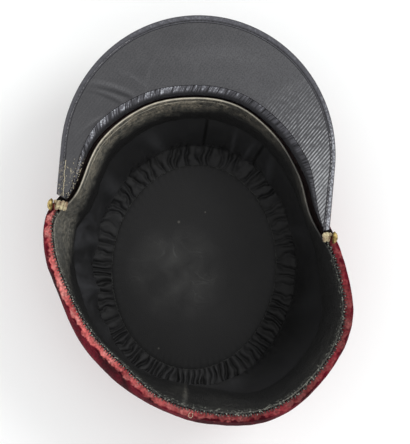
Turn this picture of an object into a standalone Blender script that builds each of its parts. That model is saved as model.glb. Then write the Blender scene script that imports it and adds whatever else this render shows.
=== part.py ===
"""A kepi cap lying upside down on its crown. Metres, +Z up, +Y towards the peak.

The origin is the centre of the crown's flat outer face, which the cap lies on. Every piece of the cap is
a closed solid of its own. A place on the wall is given by its turn, the angle in degrees about the middle
of the head opening, with 90 at the peak, and by how far it is up the wall or below the rim.
"""

import math
from collections import namedtuple

import bmesh
import bpy
from mathutils import Vector

FULL_TURN = 360.0
GAP = 0.0003
LAYER_GAP = 0.0006

# The crown, the flat oval that the cap lies on
CROWN_LENGTH = 0.166
CROWN_WIDTH = 0.142
CROWN_THICKNESS = 0.0026
CROWN_BEVEL = 0.0007

# The head opening, measured inside the rim
HEAD_LENGTH = 0.189
HEAD_WIDTH = 0.172
HEAD_SHIFT_SIDE = 0.0035
HEAD_SHIFT_FRONT = 0.0125
FRONT_HEIGHT = 0.072
BACK_HEIGHT = 0.108

# The cloth wall and the velvet band round it
WALL_THICKNESS = 0.0015
BAND_THICKNESS = 0.0011
BAND_HEIGHT = 0.037
BAND_TURN_IN = 0.005
RIM_ROUND = 0.0019
SWELL = 0.008
WALL_FOLD = 0.0016
BACK_SEAM_TURN = 268.0
BACK_SEAM_WIDTH = 0.011
BACK_SEAM_RISE = 0.0016

# The velvet's round edge over the rim. across: share of the rim's width. rise: share of the edge's height.
EdgeRow = namedtuple("EdgeRow", "across rise")
EDGE_ROWS = (EdgeRow(0.12, 0.55), EdgeRow(0.50, 1.00), EdgeRow(0.88, 0.55))

# The sweatband
SWEATBAND_THICKNESS = 0.0012
SWEATBAND_WIDTH = 0.034
SWEATBAND_TUCK = 0.004
SWEATBAND_LEAN = 0.012
SWEATBAND_BOW = 0.0012

# The lining: an oval patch, a gathered ring round it and a side that goes up behind the sweatband
PATCH_LENGTH = 0.136
PATCH_WIDTH = 0.109
PATCH_THICKNESS = 0.0012
LINING_THICKNESS = 0.001
RING_WIDTH = 0.0120
RING_RISE = 0.0032
LINING_LAP = 0.006
LINING_BOW = 0.002
PLEATS = 52
PLEAT_DEPTH = 0.0013
SIDE_PLEAT_SHARE = 0.6

# The peak
PEAK_HALF_WIDTH = 0.0836
PEAK_SHIFT_SIDE = -0.0031
PEAK_ROUND_START = 0.070
PEAK_ROUND_LENGTH = 0.0855
PEAK_SLOPE = 23.0
PEAK_THICKNESS = 0.0016
PEAK_SEAT = 0.005
PEAK_FIRST_TURN = 13.0
PEAK_LAST_TURN = 165.3
PEAK_NOTCH = 8.0
PEAK_RAMP = 4.0
PEAK_ROOT_RISE = 0.0019
PEAK_ROOT_CLEARANCE = 0.0001
PEAK_LINING_THICKNESS = 0.0006
PEAK_LINING_MARGIN = 2.0
BINDING_THICKNESS = 0.0006
BINDING_WIDTH = 0.0033
STRIP_WIDTH = 0.006
STRIP_THICKNESS = 0.0011
STRIP_SHARE_AT_ENDS = 0.25

# The gold chin cord, the wound knots and the buttons at the peak's ends
CORD_DIAMETER = 0.0032
CORD_SPACING = 0.0046
CORD_DROP = 0.0035
CORD_END_MARGIN = 3.0
BIGHT_CORNER = 0.8
KNOT_LENGTH = 0.0068
KNOT_HEIGHT = 0.0056
KNOT_CORD = 0.0031
SWEATBAND_DIP = 0.0042
SWEATBAND_DIP_SPREAD = 7.0
BUTTON_DIAMETER = 0.0078
BUTTON_THICKNESS = 0.0032

# The two ends of the peak. side: its name. way: +1 or -1 along X. wound: turns of cord in its knot. inside:
# how far inside the rim's inner edge the knot starts.
CordEnd = namedtuple("CordEnd", "side way wound inside")
CORD_ENDS = (
    CordEnd("left", -1.0, 3, 0.0045),
    CordEnd("right", 1.0, 2, 0.0030),
)

# The profiles of one turn of a knot and of a button. along: share of the cord's or the button's thickness.
# radius: share of half the knot's length or the button's diameter.
ProfileRow = namedtuple("ProfileRow", "along radius")
WOUND_ROWS = (ProfileRow(0.00, 0.74), ProfileRow(0.25, 1.00), ProfileRow(0.75, 1.00))
BUTTON_ROWS = (
    ProfileRow(0.00, 0.80),
    ProfileRow(0.25, 1.00),
    ProfileRow(0.45, 1.00),
    ProfileRow(0.80, 0.72),
    ProfileRow(1.00, 0.30),
)

# How finely the solids are faceted
WALL_COLUMNS = 60
PEAK_COLUMNS = 36
CORD_COLUMNS = 27
TURNED_SIDES = 12
PEAK_ROWS = 5
PEAK_LINING_ROWS = 4
STRIP_ROWS = 3

# The rim seen from above. turn: degrees. rim: the rim's inner edge, as a share of the head opening's half
# sizes. swell: how far the wall swells out below the rim, as a share of SWELL. tuck: how far the
# sweatband's edge stands inside the rim, as a share of SWEATBAND_TUCK. lean: how far its other edge leans
# into the cap, as a share of SWEATBAND_LEAN.
Station = namedtuple("Station", "turn rim swell tuck lean")
STATIONS = (
    Station(0, 0.970, 0.25, 0.10, 0.12),
    Station(20, 0.861, 0.30, 0.75, 0.08),
    Station(40, 0.888, 0.30, 0.60, 0.05),
    Station(60, 0.947, 0.30, 0.35, 0.02),
    Station(80, 1.003, 0.35, 0.20, 0.00),
    Station(100, 1.028, 0.35, 0.20, 0.00),
    Station(120, 1.054, 0.30, 0.25, 0.05),
    Station(140, 1.053, 0.30, 0.50, 0.22),
    Station(160, 0.995, 0.35, 0.50, 0.45),
    Station(180, 1.046, 0.50, 0.10, 0.32),
    Station(200, 0.968, 0.38, 0.05, 0.18),
    Station(220, 0.924, 0.62, 0.05, 0.20),
    Station(240, 0.908, 0.70, 0.05, 0.30),
    Station(260, 0.973, 0.35, 0.05, 0.80),
    Station(280, 1.032, 0.50, 0.05, 0.95),
    Station(300, 1.118, 0.60, 0.05, 0.50),
    Station(320, 1.144, 0.50, 0.05, 0.25),
    Station(340, 1.118, 0.50, 0.05, 0.20),
)

# Where the rim is pushed out close beside the peak. turn: the middle of the bump. spread: degrees. out: a
# share of the head opening's half sizes. swell: what it adds to the swell, as a share of SWELL.
Bump = namedtuple("Bump", "turn spread out swell")
BUMPS = (Bump(172, 7.0, 0.045, -0.30),)

# The soft folds that run across the cloth wall. turn: the middle of the fold. height: its place up the
# wall, as a share of the wall. reach: how far round it goes, as a share of a full turn. depth: as a share
# of WALL_FOLD, inwards where negative.
Fold = namedtuple("Fold", "turn height reach depth")
FOLDS = (
    Fold(205, 0.42, 0.16, 0.9),
    Fold(232, 0.26, 0.12, 0.6),
    Fold(262, 0.50, 0.10, -0.7),
    Fold(312, 0.36, 0.14, -0.9),
    Fold(345, 0.22, 0.12, 0.7),
    Fold(150, 0.34, 0.12, -0.8),
    Fold(30, 0.40, 0.12, -0.6),
)
FOLD_HEIGHT = 0.10


def smooth_step(value):
    """0 below 0, 1 above 1, and an easy slope between."""
    value = min(1.0, max(0.0, value))
    return value * value * (3.0 - 2.0 * value)


def column(name, turn):
    """The value of one column of the stations at any turn, on a smooth closed curve through the rows."""
    step = FULL_TURN / len(STATIONS)
    place = (turn % FULL_TURN) / step
    first = int(place)
    part = place - first
    before, low, high, after = (
        getattr(STATIONS[(first + offset) % len(STATIONS)], name) for offset in (-1, 0, 1, 2)
    )
    bend = 2.0 * before - 5.0 * low + 4.0 * high - after
    twist = 3.0 * (low - high) + after - before
    return low + 0.5 * part * ((high - before) + part * (bend + part * twist))


def oval(turn, width, length, side=0.0, front=0.0):
    """A point of an oval seen from above."""
    angle = math.radians(turn)
    return Vector((side + width / 2 * math.cos(angle), front + length / 2 * math.sin(angle)))


def crown_outline(turn):
    return oval(turn, CROWN_WIDTH, CROWN_LENGTH)


def signed_turn(turn, middle):
    """How far a turn is from a middle, between -180 and 180."""
    return (turn - middle + FULL_TURN / 2) % FULL_TURN - FULL_TURN / 2


def nearness(turn, middle, spread):
    """1 at the middle of a bump, fading to 0 past its spread in degrees."""
    return math.exp(-((signed_turn(turn, middle) / spread) ** 2))


def bump_of(name, turn):
    """What the bumps add to one column of the stations."""
    return sum(getattr(bump, name) * nearness(turn, bump.turn, bump.spread) for bump in BUMPS)


def rim_outline(turn):
    share = column("rim", turn) + bump_of("out", turn)
    return oval(turn, share * HEAD_WIDTH, share * HEAD_LENGTH, HEAD_SHIFT_SIDE, HEAD_SHIFT_FRONT)


def outward(outline, turn):
    """The direction that leaves an outline squarely, seen from above."""
    step = 1.0
    along = outline(turn + step) - outline(turn - step)
    return Vector((along.y, -along.x)).normalized()


def peak_presence(turn):
    """1 where the peak or the knot beside it sits on the wall's edge, 0 elsewhere, with a short ramp."""
    first = PEAK_FIRST_TURN - PEAK_NOTCH - PEAK_RAMP
    last = PEAK_LAST_TURN + PEAK_NOTCH + PEAK_RAMP
    turn %= FULL_TURN
    return smooth_step((turn - first) / PEAK_RAMP) * smooth_step((last - turn) / PEAK_RAMP)


def rim_height(turn):
    """The height of the rim, a slanted plane that is lowest at the peak."""
    front = rim_outline(90.0).y
    back = rim_outline(270.0).y
    share = (front - rim_outline(turn).y) / (front - back)
    return FRONT_HEIGHT + (BACK_HEIGHT - FRONT_HEIGHT) * share


def wall_edge_height(turn):
    """The height of the wall's edge, which is lower where the peak sits on it."""
    return rim_height(turn) - PEAK_SEAT * peak_presence(turn)


RIM_WIDTH = 2 * BAND_THICKNESS + WALL_THICKNESS + 2 * LAYER_GAP
WALL_FOOT = CROWN_THICKNESS + GAP
WALL_DEPTH = BAND_THICKNESS + LAYER_GAP


def belly(share):
    """How the swell is spread up the wall: none at the crown and the rim, and most close to the rim."""
    power = 5
    widest = power / (power + 1)
    return share**power * (1.0 - share) / (widest**power * (1.0 - widest))


def fold_depth(turn, share):
    """The soft folds of the cloth wall at one place."""
    total = 0.0
    for fold in FOLDS:
        round_part = signed_turn(turn, fold.turn) / (fold.reach * FULL_TURN / 2)
        height_part = (share - fold.height) / FOLD_HEIGHT
        total += fold.depth * math.exp(-round_part * round_part - height_part * height_part)
    return WALL_FOLD * total


def wall_length(turn):
    """The length of the wall from the crown to its edge."""
    spread = (rim_outline(turn) - crown_outline(turn)).length
    return math.hypot(spread, wall_edge_height(turn) - WALL_FOOT)


def wall_point(turn, share, depth):
    """A point of the wall. share is 0 at the crown and 1 at the edge; depth goes in from the outside."""
    share_out = (1.0 - share) * outward(crown_outline, turn) + share * outward(rim_outline, turn)
    proud = (1.0 - share) * WALL_DEPTH + share * RIM_WIDTH
    swell = SWELL * (column("swell", turn) + bump_of("swell", turn))
    proud += swell * belly(share) + fold_depth(turn, share) - depth
    plan = crown_outline(turn).lerp(rim_outline(turn), share) + share_out.normalized() * proud
    height = WALL_FOOT + (wall_edge_height(turn) - WALL_FOOT) * share
    return Vector((plan.x, plan.y, height))


def below_edge(turn, distance, depth):
    """A point of the wall at a distance down from its edge."""
    return wall_point(turn, 1.0 - distance / wall_length(turn), depth)


def over_edge(turn, depth, rise):
    """A point above the wall's edge, at a depth in from the outside."""
    point = wall_point(turn, 1.0, depth)
    point.z += rise
    return point


def turns(count):
    return [FULL_TURN * index / count for index in range(count)]


def spread_turns(first, last, count):
    return [first + (last - first) * index / (count - 1) for index in range(count)]


def finish_mesh(name, bm, material):
    """Turns a bmesh into an object with its material, smooth apart from its sharp edges."""
    sharp_angle = 40.0
    bmesh.ops.recalc_face_normals(bm, faces=bm.faces)
    mesh = bpy.data.meshes.new(name)
    bm.to_mesh(mesh)
    bm.free()
    mesh.materials.append(material)
    mesh.shade_smooth()
    mesh.set_sharp_from_angle(angle=math.radians(sharp_angle))
    piece = bpy.data.objects.new(name, mesh)
    bpy.context.scene.collection.objects.link(piece)
    return piece


def join_sections(bm, first, second):
    """Joins two closed sections of equal count with a band of faces."""
    for index in range(len(first)):
        after = (index + 1) % len(first)
        bm.faces.new((first[index], first[after], second[after], second[index]))


def ring_piece(name, section_at, columns, material):
    """A ring whose section, a closed list of points, is given at each turn."""
    bm = bmesh.new()
    sections = [[bm.verts.new(point) for point in section_at(turn)] for turn in turns(columns)]
    for index, section in enumerate(sections):
        join_sections(bm, section, sections[(index + 1) % columns])
    return finish_mesh(name, bm, material)


def strip_piece(name, section_at, places, material):
    """A strip with closed ends whose section, a closed list of points, is given at each place."""
    bm = bmesh.new()
    sections = [[bm.verts.new(point) for point in section_at(place)] for place in places]
    for first, second in zip(sections, sections[1:]):
        join_sections(bm, first, second)
    bm.faces.new(sections[0])
    bm.faces.new(sections[-1])
    return finish_mesh(name, bm, material)


def disc_piece(name, outline, levels, columns, material):
    """A flat piece with closed faces, from levels of (inset, height) that go up its side."""
    bm = bmesh.new()
    loops = []
    for inset, height in levels:
        loop = []
        for turn in turns(columns):
            plan = outline(turn) - outward(outline, turn) * inset
            loop.append(bm.verts.new((plan.x, plan.y, height)))
        loops.append(loop)
    for first, second in zip(loops, loops[1:]):
        join_sections(bm, first, second)
    bm.faces.new(loops[0])
    bm.faces.new(loops[-1])
    return finish_mesh(name, bm, material)


def turned_piece(name, profile, place, way, squash, material):
    """A piece turned about a level axis, from a profile of (along, radius) points.

    way is +1 or -1 along X. The radius is taken in full along Y and times squash upwards.
    """
    bm = bmesh.new()
    rings = []
    for along, radius in profile:
        ring = []
        for angle in (math.tau * index / TURNED_SIDES for index in range(TURNED_SIDES)):
            offset = (way * along, radius * math.cos(angle), radius * squash * math.sin(angle))
            ring.append(bm.verts.new(place + Vector(offset)))
        rings.append(ring)
    for first, second in zip(rings, rings[1:]):
        join_sections(bm, first, second)
    bm.faces.new(rings[0])
    bm.faces.new(rings[-1])
    return finish_mesh(name, bm, material)


def finish(name, colour, roughness, metallic=0.0):
    """A Principled material with a colour, a roughness and a metallic value."""
    material = bpy.data.materials.new(name)
    material.use_nodes = True
    shader = material.node_tree.nodes["Principled BSDF"]
    shader.inputs["Base Color"].default_value = (*colour, 1.0)
    shader.inputs["Roughness"].default_value = roughness
    shader.inputs["Metallic"].default_value = metallic
    return material


def make_crown_top():
    levels = (
        (CROWN_BEVEL, 0.0),
        (0.0, CROWN_BEVEL),
        (0.0, CROWN_THICKNESS - CROWN_BEVEL),
        (CROWN_BEVEL, CROWN_THICKNESS),
    )
    cloth = finish("crown_cloth", (0.30, 0.02, 0.03), 0.9)
    return disc_piece("crown_top", crown_outline, levels, WALL_COLUMNS, cloth)


BAND_ROWS = (1.0, 0.60, 0.30, BAND_TURN_IN / BAND_HEIGHT)
LOWER_ROWS = (0.0, 0.27, 0.53, 0.78)


def band_point(turn, row, depth):
    """A point of the wall under the band: row is 0 at the edge and 1 at the band's far side."""
    return below_edge(turn, row * (BAND_HEIGHT - PEAK_SEAT * peak_presence(turn)), depth)


def make_crown_wall():
    """The cloth wall, one layer from the crown to the rim, under the band."""

    def face(turn, depth):
        band_start = 1.0 - (BAND_HEIGHT - PEAK_SEAT * peak_presence(turn)) / wall_length(turn)
        points = [wall_point(turn, row * band_start, depth) for row in LOWER_ROWS]
        points += [band_point(turn, row, depth) for row in BAND_ROWS]
        points.append(wall_point(turn, 1.0, depth))
        return points

    def section(turn):
        inside = face(turn, WALL_DEPTH + WALL_THICKNESS)
        return face(turn, WALL_DEPTH) + list(reversed(inside))

    cloth = finish("wall_cloth", (0.33, 0.02, 0.03), 0.9)
    return ring_piece("crown_wall", section, WALL_COLUMNS, cloth)


def back_seam_rise(turn):
    """The bump where the velvet's ends are joined, at the middle of the back."""
    away = math.radians(signed_turn(turn, BACK_SEAM_TURN)) * HEAD_LENGTH / 2
    return BACK_SEAM_RISE * math.exp(-((2.0 * away / BACK_SEAM_WIDTH) ** 2))


def make_band():
    """The velvet: up the outside, round over the rim and a little way down inside."""
    inner_face = RIM_WIDTH - BAND_THICKNESS

    def section(turn):
        rise = RIM_ROUND + back_seam_rise(turn)
        points = [band_point(turn, row, 0.0) for row in BAND_ROWS]
        points += [over_edge(turn, row.across * RIM_WIDTH, row.rise * rise) for row in EDGE_ROWS]
        points.append(band_point(turn, BAND_ROWS[-1], RIM_WIDTH))
        points.append(band_point(turn, BAND_ROWS[-1], inner_face))
        points.append(over_edge(turn, inner_face, GAP))
        points.append(over_edge(turn, BAND_THICKNESS, GAP))
        points += [band_point(turn, row, BAND_THICKNESS) for row in reversed(BAND_ROWS)]
        return points

    velvet = finish("velvet", (0.42, 0.03, 0.05), 0.85)
    return ring_piece("band", section, WALL_COLUMNS, velvet)


KNOT_AWAY = math.degrees((KNOT_LENGTH / 2 + 2 * GAP) / (HEAD_WIDTH / 2))


def knot_turn(end):
    return PEAK_FIRST_TURN - KNOT_AWAY if end.way > 0 else PEAK_LAST_TURN + KNOT_AWAY


def sweatband_point(turn, share, depth):
    """A point of the sweatband: share is 0 at the rim and 1 at its other edge inside the cap."""
    wall_inside = WALL_DEPTH + WALL_THICKNESS
    edge_depth = RIM_WIDTH + GAP + SWEATBAND_TUCK * column("tuck", turn)
    low_depth = wall_inside + LINING_THICKNESS + 2 * LAYER_GAP + SWEATBAND_LEAN * column("lean", turn)
    top = wall_point(turn, 1.0, edge_depth)
    dip = sum(nearness(turn, knot_turn(end), SWEATBAND_DIP_SPREAD) for end in CORD_ENDS)
    top.z = rim_height(turn) - SWEATBAND_DIP * dip
    low = below_edge(turn, SWEATBAND_WIDTH - PEAK_SEAT * peak_presence(turn), low_depth)
    out = outward(rim_outline, turn)
    bow = SWEATBAND_BOW * math.sin(math.pi * share)
    plan = out * (-depth - bow)
    return top.lerp(low, share) + Vector((plan.x, plan.y, 0.0))


def make_sweatband():
    shares = (0.0, 0.3, 0.65, 1.0)

    def section(turn):
        outside = [sweatband_point(turn, share, 0.0) for share in shares]
        inside = [sweatband_point(turn, share, SWEATBAND_THICKNESS) for share in reversed(shares)]
        return outside + inside

    leather = finish("sweatband_leather", (0.05, 0.045, 0.04), 0.55)
    return ring_piece("sweatband", section, WALL_COLUMNS, leather)


def patch_outline(turn):
    return oval(turn, PATCH_WIDTH, PATCH_LENGTH)


PATCH_HEIGHT = CROWN_THICKNESS + GAP
RING_HEIGHT = PATCH_HEIGHT + PLEAT_DEPTH


def make_lining_top():
    levels = ((0.0, PATCH_HEIGHT), (0.0, PATCH_HEIGHT + PATCH_THICKNESS))
    cloth = finish("lining_top_cloth", (0.012, 0.012, 0.013), 0.8)
    return disc_piece("lining_top", patch_outline, levels, WALL_COLUMNS, cloth)


def pleat(turn):
    """The zigzag of the gathers, between -1 and 1."""
    place = (turn % FULL_TURN) / FULL_TURN * PLEATS
    return 4.0 * abs(place - math.floor(place) - 0.5) - 1.0


def make_lining():
    """The gathered ring and the side of the lining, one layer of cloth."""
    ring_shares = (0.0, 0.5, 1.0)
    side_shares = (0.5,)

    def ring_line(turn, share):
        plan = patch_outline(turn) + outward(patch_outline, turn) * (2 * GAP + RING_WIDTH * share)
        height = RING_HEIGHT + RING_RISE * share * share + PLEAT_DEPTH * pleat(turn)
        return Vector((plan.x, plan.y, height))

    def behind_sweatband(turn, share):
        return sweatband_point(turn, share, -LINING_THICKNESS - LAYER_GAP)

    def side_line(turn, share):
        line = ring_line(turn, 1.0).lerp(behind_sweatband(turn, 1.0), share)
        sway = SIDE_PLEAT_SHARE * PLEAT_DEPTH * pleat(turn) * (1.0 - share)
        sway -= LINING_BOW * math.sin(math.pi * share)
        move = outward(patch_outline, turn) * sway
        return line + Vector((move.x, move.y, 0.0))

    def section(turn):
        lower = [ring_line(turn, share) for share in ring_shares]
        lower += [side_line(turn, share) for share in side_shares]
        lower.append(behind_sweatband(turn, 1.0))
        lower.append(behind_sweatband(turn, 1.0 - LINING_LAP / SWEATBAND_WIDTH))
        out = outward(patch_outline, turn)
        upper = []
        for index, point in enumerate(lower):
            lift = 1.0 - smooth_step((index - 1) / 2.0)
            inward = Vector((-out.x, -out.y, 0.0)) * (1.0 - lift)
            upper.append(point + (inward + Vector((0.0, 0.0, lift))).normalized() * LINING_THICKNESS)
        return lower + list(reversed(upper))

    cloth = finish("lining_cloth", (0.012, 0.012, 0.013), 0.8)
    return ring_piece("lining", section, 2 * PLEATS, cloth)


def peak_reach(direction):
    """How far the peak's outline is from the origin in a direction seen from above."""
    side_edge = PEAK_SHIFT_SIDE + math.copysign(PEAK_HALF_WIDTH, direction.x)
    if direction.x != 0.0:
        straight = side_edge / direction.x
        if straight * direction.y <= PEAK_ROUND_START:
            return straight
    across = direction.x / PEAK_HALF_WIDTH
    ahead = direction.y / PEAK_ROUND_LENGTH
    across_start = -PEAK_SHIFT_SIDE / PEAK_HALF_WIDTH
    ahead_start = -PEAK_ROUND_START / PEAK_ROUND_LENGTH
    square = across * across + ahead * ahead
    middle = across * across_start + ahead * ahead_start
    rest = across_start * across_start + ahead_start * ahead_start - 1.0
    return (-middle + math.sqrt(middle * middle - square * rest)) / square


def peak_span(turn):
    """The peak's root point, the direction to its edge seen from above, and the distance between them."""
    root = over_edge(turn, RIM_WIDTH - PEAK_ROOT_CLEARANCE, PEAK_ROOT_RISE)
    plan = Vector((root.x, root.y))
    direction = plan.normalized()
    return root, direction, peak_reach(direction) - plan.length


def peak_point(turn, from_root, lift):
    """A point of the peak, at a distance from its root seen from above and a lift over its lower face."""
    root, direction, _ = peak_span(turn)
    rise = from_root * math.tan(math.radians(PEAK_SLOPE)) + lift
    return root + Vector((direction.x * from_root, direction.y * from_root, rise))


def peak_distance(turn):
    return peak_span(turn)[2]


def peak_turns(margin):
    return spread_turns(PEAK_FIRST_TURN + margin, PEAK_LAST_TURN - margin, PEAK_COLUMNS)


def sheet_on_peak(name, near, far, low, high, rows, material, margin=0.0):
    """A flat layer of the peak between two distances from its root, given at each turn.

    It starts and ends a margin in degrees inside the peak's ends.
    """

    def section(turn):
        start = near(turn)
        end = far(turn)
        places = [start + (end - start) * row / (rows - 1) for row in range(rows)]
        under = [peak_point(turn, place, low) for place in places]
        above = [peak_point(turn, place, high) for place in reversed(places)]
        return under + above

    return strip_piece(name, section, peak_turns(margin), material)


def strip_end(turn):
    """The seam strip's width, less near the peak's ends, where the binding leaves little room."""
    return min(STRIP_WIDTH, STRIP_SHARE_AT_ENDS * (peak_distance(turn) - BINDING_WIDTH))


def at_root(turn):
    return 0.0


def make_peak():
    leather = finish("peak_leather", (0.01, 0.01, 0.012), 0.25)
    return sheet_on_peak(
        "peak", at_root, peak_distance, 0.0, PEAK_THICKNESS, PEAK_ROWS, leather
    )


def make_peak_lining():
    low = PEAK_THICKNESS + GAP
    high = low + PEAK_LINING_THICKNESS
    ribbed = finish("peak_lining_leather", (0.03, 0.03, 0.035), 0.5)

    def near(turn):
        return strip_end(turn) + GAP

    def far(turn):
        return peak_distance(turn) - BINDING_WIDTH - GAP

    margin = PEAK_LINING_MARGIN
    return sheet_on_peak("peak_lining", near, far, low, high, PEAK_LINING_ROWS, ribbed, margin)


def make_peak_seam_strip():
    low = PEAK_THICKNESS + GAP
    high = low + STRIP_THICKNESS
    leather = finish("strip_leather", (0.02, 0.02, 0.022), 0.35)
    return sheet_on_peak("peak_seam_strip", at_root, strip_end, low, high, STRIP_ROWS, leather)


def make_peak_binding():
    """The binding: a channel folded round the peak's edge."""
    wrap = GAP + BINDING_THICKNESS

    def section(turn):
        edge = peak_distance(turn)
        inner = edge - BINDING_WIDTH
        bulge = 0.5 * BINDING_THICKNESS
        return [
            peak_point(turn, inner, -wrap),
            peak_point(turn, edge, -wrap),
            peak_point(turn, edge + wrap, PEAK_THICKNESS / 2 - bulge),
            peak_point(turn, edge + wrap, PEAK_THICKNESS / 2 + bulge),
            peak_point(turn, edge, PEAK_THICKNESS + wrap),
            peak_point(turn, inner, PEAK_THICKNESS + wrap),
            peak_point(turn, inner, PEAK_THICKNESS + GAP),
            peak_point(turn, edge + GAP, PEAK_THICKNESS + GAP),
            peak_point(turn, edge + GAP, -GAP),
            peak_point(turn, inner, -GAP),
        ]

    leather = finish("binding_leather", (0.012, 0.012, 0.014), 0.3)
    return strip_piece("peak_binding", section, peak_turns(0.0), leather)


def cord_point(turn, drop):
    return below_edge(turn, drop, -CORD_DIAMETER / 2 - LAYER_GAP)


def make_chin_cord():
    """One closed loop: two strands under the peak, joined by a bight at each end."""
    first = PEAK_FIRST_TURN + CORD_END_MARGIN
    last = PEAK_LAST_TURN - CORD_END_MARGIN
    upper_drop = CORD_DROP
    lower_drop = CORD_DROP + CORD_SPACING
    middle_drop = (upper_drop + lower_drop) / 2
    corner = BIGHT_CORNER * math.degrees(CORD_SPACING / HEAD_WIDTH)
    places = spread_turns(first, last, CORD_COLUMNS)
    route = [cord_point(turn, upper_drop) for turn in places]
    route.append(cord_point(last + corner, (upper_drop + middle_drop) / 2))
    route.append(cord_point(last + corner, (lower_drop + middle_drop) / 2))
    route += [cord_point(turn, lower_drop) for turn in reversed(places)]
    route.append(cord_point(first - corner, (lower_drop + middle_drop) / 2))
    route.append(cord_point(first - corner, (upper_drop + middle_drop) / 2))
    curve = bpy.data.curves.new("chin_cord", "CURVE")
    curve.dimensions = "3D"
    curve.bevel_depth = CORD_DIAMETER / 2
    curve.bevel_resolution = 1
    spline = curve.splines.new("POLY")
    spline.points.add(len(route) - 1)
    for spline_point, place in zip(spline.points, route):
        spline_point.co = (*place, 1.0)
    spline.use_cyclic_u = True
    curve.materials.append(finish("gold_cord", (0.62, 0.50, 0.28), 0.5, 0.3))
    cord = bpy.data.objects.new("chin_cord", curve)
    bpy.context.scene.collection.objects.link(cord)
    return cord


def end_place(end, along, radius):
    """A place on the rim beside the peak, along from the knot's inner end and a radius above the velvet."""
    place = over_edge(knot_turn(end), RIM_WIDTH, RIM_ROUND + GAP + radius)
    return place + Vector((end.way * (along - end.inside), 0.0, 0.0))


def make_knot(end, material):
    """A wound knot, its turns side by side and fused."""
    radius = KNOT_LENGTH / 2
    profile = []
    for wound in range(end.wound):
        profile += [((wound + row.along) * KNOT_CORD, row.radius * radius) for row in WOUND_ROWS]
    profile.append((end.wound * KNOT_CORD, WOUND_ROWS[0].radius * radius))
    place = end_place(end, 0.0, KNOT_HEIGHT / 2)
    squash = KNOT_HEIGHT / KNOT_LENGTH
    return turned_piece("cord_knot_" + end.side, profile, place, end.way, squash, material)


def make_button(end, material):
    """A small domed button outside a knot."""
    radius = BUTTON_DIAMETER / 2
    profile = [(row.along * BUTTON_THICKNESS, row.radius * radius) for row in BUTTON_ROWS]
    place = end_place(end, end.wound * KNOT_CORD + GAP, radius)
    return turned_piece("button_" + end.side, profile, place, end.way, 1.0, material)


def make_cord_ends():
    """The knot and the button beside each end of the peak."""
    pale_gold = finish("knot_cord", (0.66, 0.56, 0.36), 0.6, 0.2)
    brass = finish("button_brass", (0.50, 0.38, 0.16), 0.4, 0.9)
    for end in CORD_ENDS:
        make_knot(end, pale_gold)
        make_button(end, brass)


def clear_scene():
    for thing in list(bpy.data.objects):
        bpy.data.objects.remove(thing, do_unlink=True)


def main():
    clear_scene()
    make_crown_top()
    make_crown_wall()
    make_band()
    make_sweatband()
    make_lining_top()
    make_lining()
    make_peak()
    make_peak_lining()
    make_peak_seam_strip()
    make_peak_binding()
    make_chin_cord()
    make_cord_ends()


main()
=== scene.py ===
# %% [markdown]
# # A kepi lying on its crown, seen from above
#
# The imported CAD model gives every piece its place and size. This lesson dresses it: each soft piece is made
# again, finer and in its own cloth, leather or cord, in the very place of its solid.

# %% Load the frame
import math
from collections import namedtuple
from functools import lru_cache, partial

import bmesh
import bpy
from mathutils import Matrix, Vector, noise


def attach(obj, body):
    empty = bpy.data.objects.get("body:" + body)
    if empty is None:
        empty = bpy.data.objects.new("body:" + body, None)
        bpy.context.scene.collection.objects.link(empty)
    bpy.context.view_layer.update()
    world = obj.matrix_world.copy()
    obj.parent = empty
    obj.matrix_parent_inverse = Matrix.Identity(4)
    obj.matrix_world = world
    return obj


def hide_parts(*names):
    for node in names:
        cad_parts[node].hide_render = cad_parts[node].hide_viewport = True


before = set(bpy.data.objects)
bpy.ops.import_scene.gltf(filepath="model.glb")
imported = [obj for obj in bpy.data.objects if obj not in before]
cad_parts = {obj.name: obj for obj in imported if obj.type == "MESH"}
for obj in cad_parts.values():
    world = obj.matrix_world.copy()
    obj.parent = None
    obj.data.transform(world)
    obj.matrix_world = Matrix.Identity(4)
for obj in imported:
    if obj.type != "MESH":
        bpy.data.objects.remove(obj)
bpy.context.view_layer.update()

# %% [markdown]
# ## Camera, floor and light
# The photograph looks straight down into the cap, turned 5 degrees about the line of sight. A white floor and
# a bright, even sky give the plain studio look. One broad lamp, up and to the right, makes the faint shadow
# on the left.

# %% Camera
CAMERA_PLACE = (0.0047, 0.0305, 1.1)
CAMERA_TURN = 5.0
CAMERA_LENS = 134.0


def new_object(name, data):
    """A new object in the scene, at the origin."""
    made = bpy.data.objects.new(name, data)
    bpy.context.scene.collection.objects.link(made)
    return made


camera = new_object("camera", bpy.data.cameras.new("camera"))
camera.data.lens = CAMERA_LENS
camera.location = CAMERA_PLACE
camera.rotation_euler = (0.0, 0.0, math.radians(CAMERA_TURN))
bpy.context.scene.camera = camera
print("camera at", CAMERA_PLACE)

# %% Floor, sky and lamp
FLOOR_SIZE = 8.0
FLOOR_DROP = 0.0002
FLOOR_COLOUR = (0.93, 0.945, 0.945, 1.0)
SKY_STRENGTH = 1.06
LAMP_PLACE = (0.75, 0.55, 1.15)
LAMP_AIM = (0.0, 0.03, 0.05)
LAMP_SIZE = 0.55
LAMP_POWER = 5.5

bpy.context.scene.view_settings.view_transform = "Standard"
bpy.ops.mesh.primitive_plane_add(size=FLOOR_SIZE, location=(0.0, 0.0, -FLOOR_DROP))
floor = bpy.context.object
floor.name = "studio_floor"
floor_paint = bpy.data.materials.new("floor_paint")
floor_paint.use_nodes = True
floor_shader = floor_paint.node_tree.nodes["Principled BSDF"]
floor_shader.inputs["Base Color"].default_value = FLOOR_COLOUR
floor_shader.inputs["Roughness"].default_value = 0.9
floor.data.materials.append(floor_paint)

world = bpy.data.worlds.new("studio_sky")
world.use_nodes = True
sky = world.node_tree.nodes["Background"]
sky.inputs["Color"].default_value = (1.0, 1.0, 1.0, 1.0)
sky.inputs["Strength"].default_value = SKY_STRENGTH
bpy.context.scene.world = world

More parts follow.
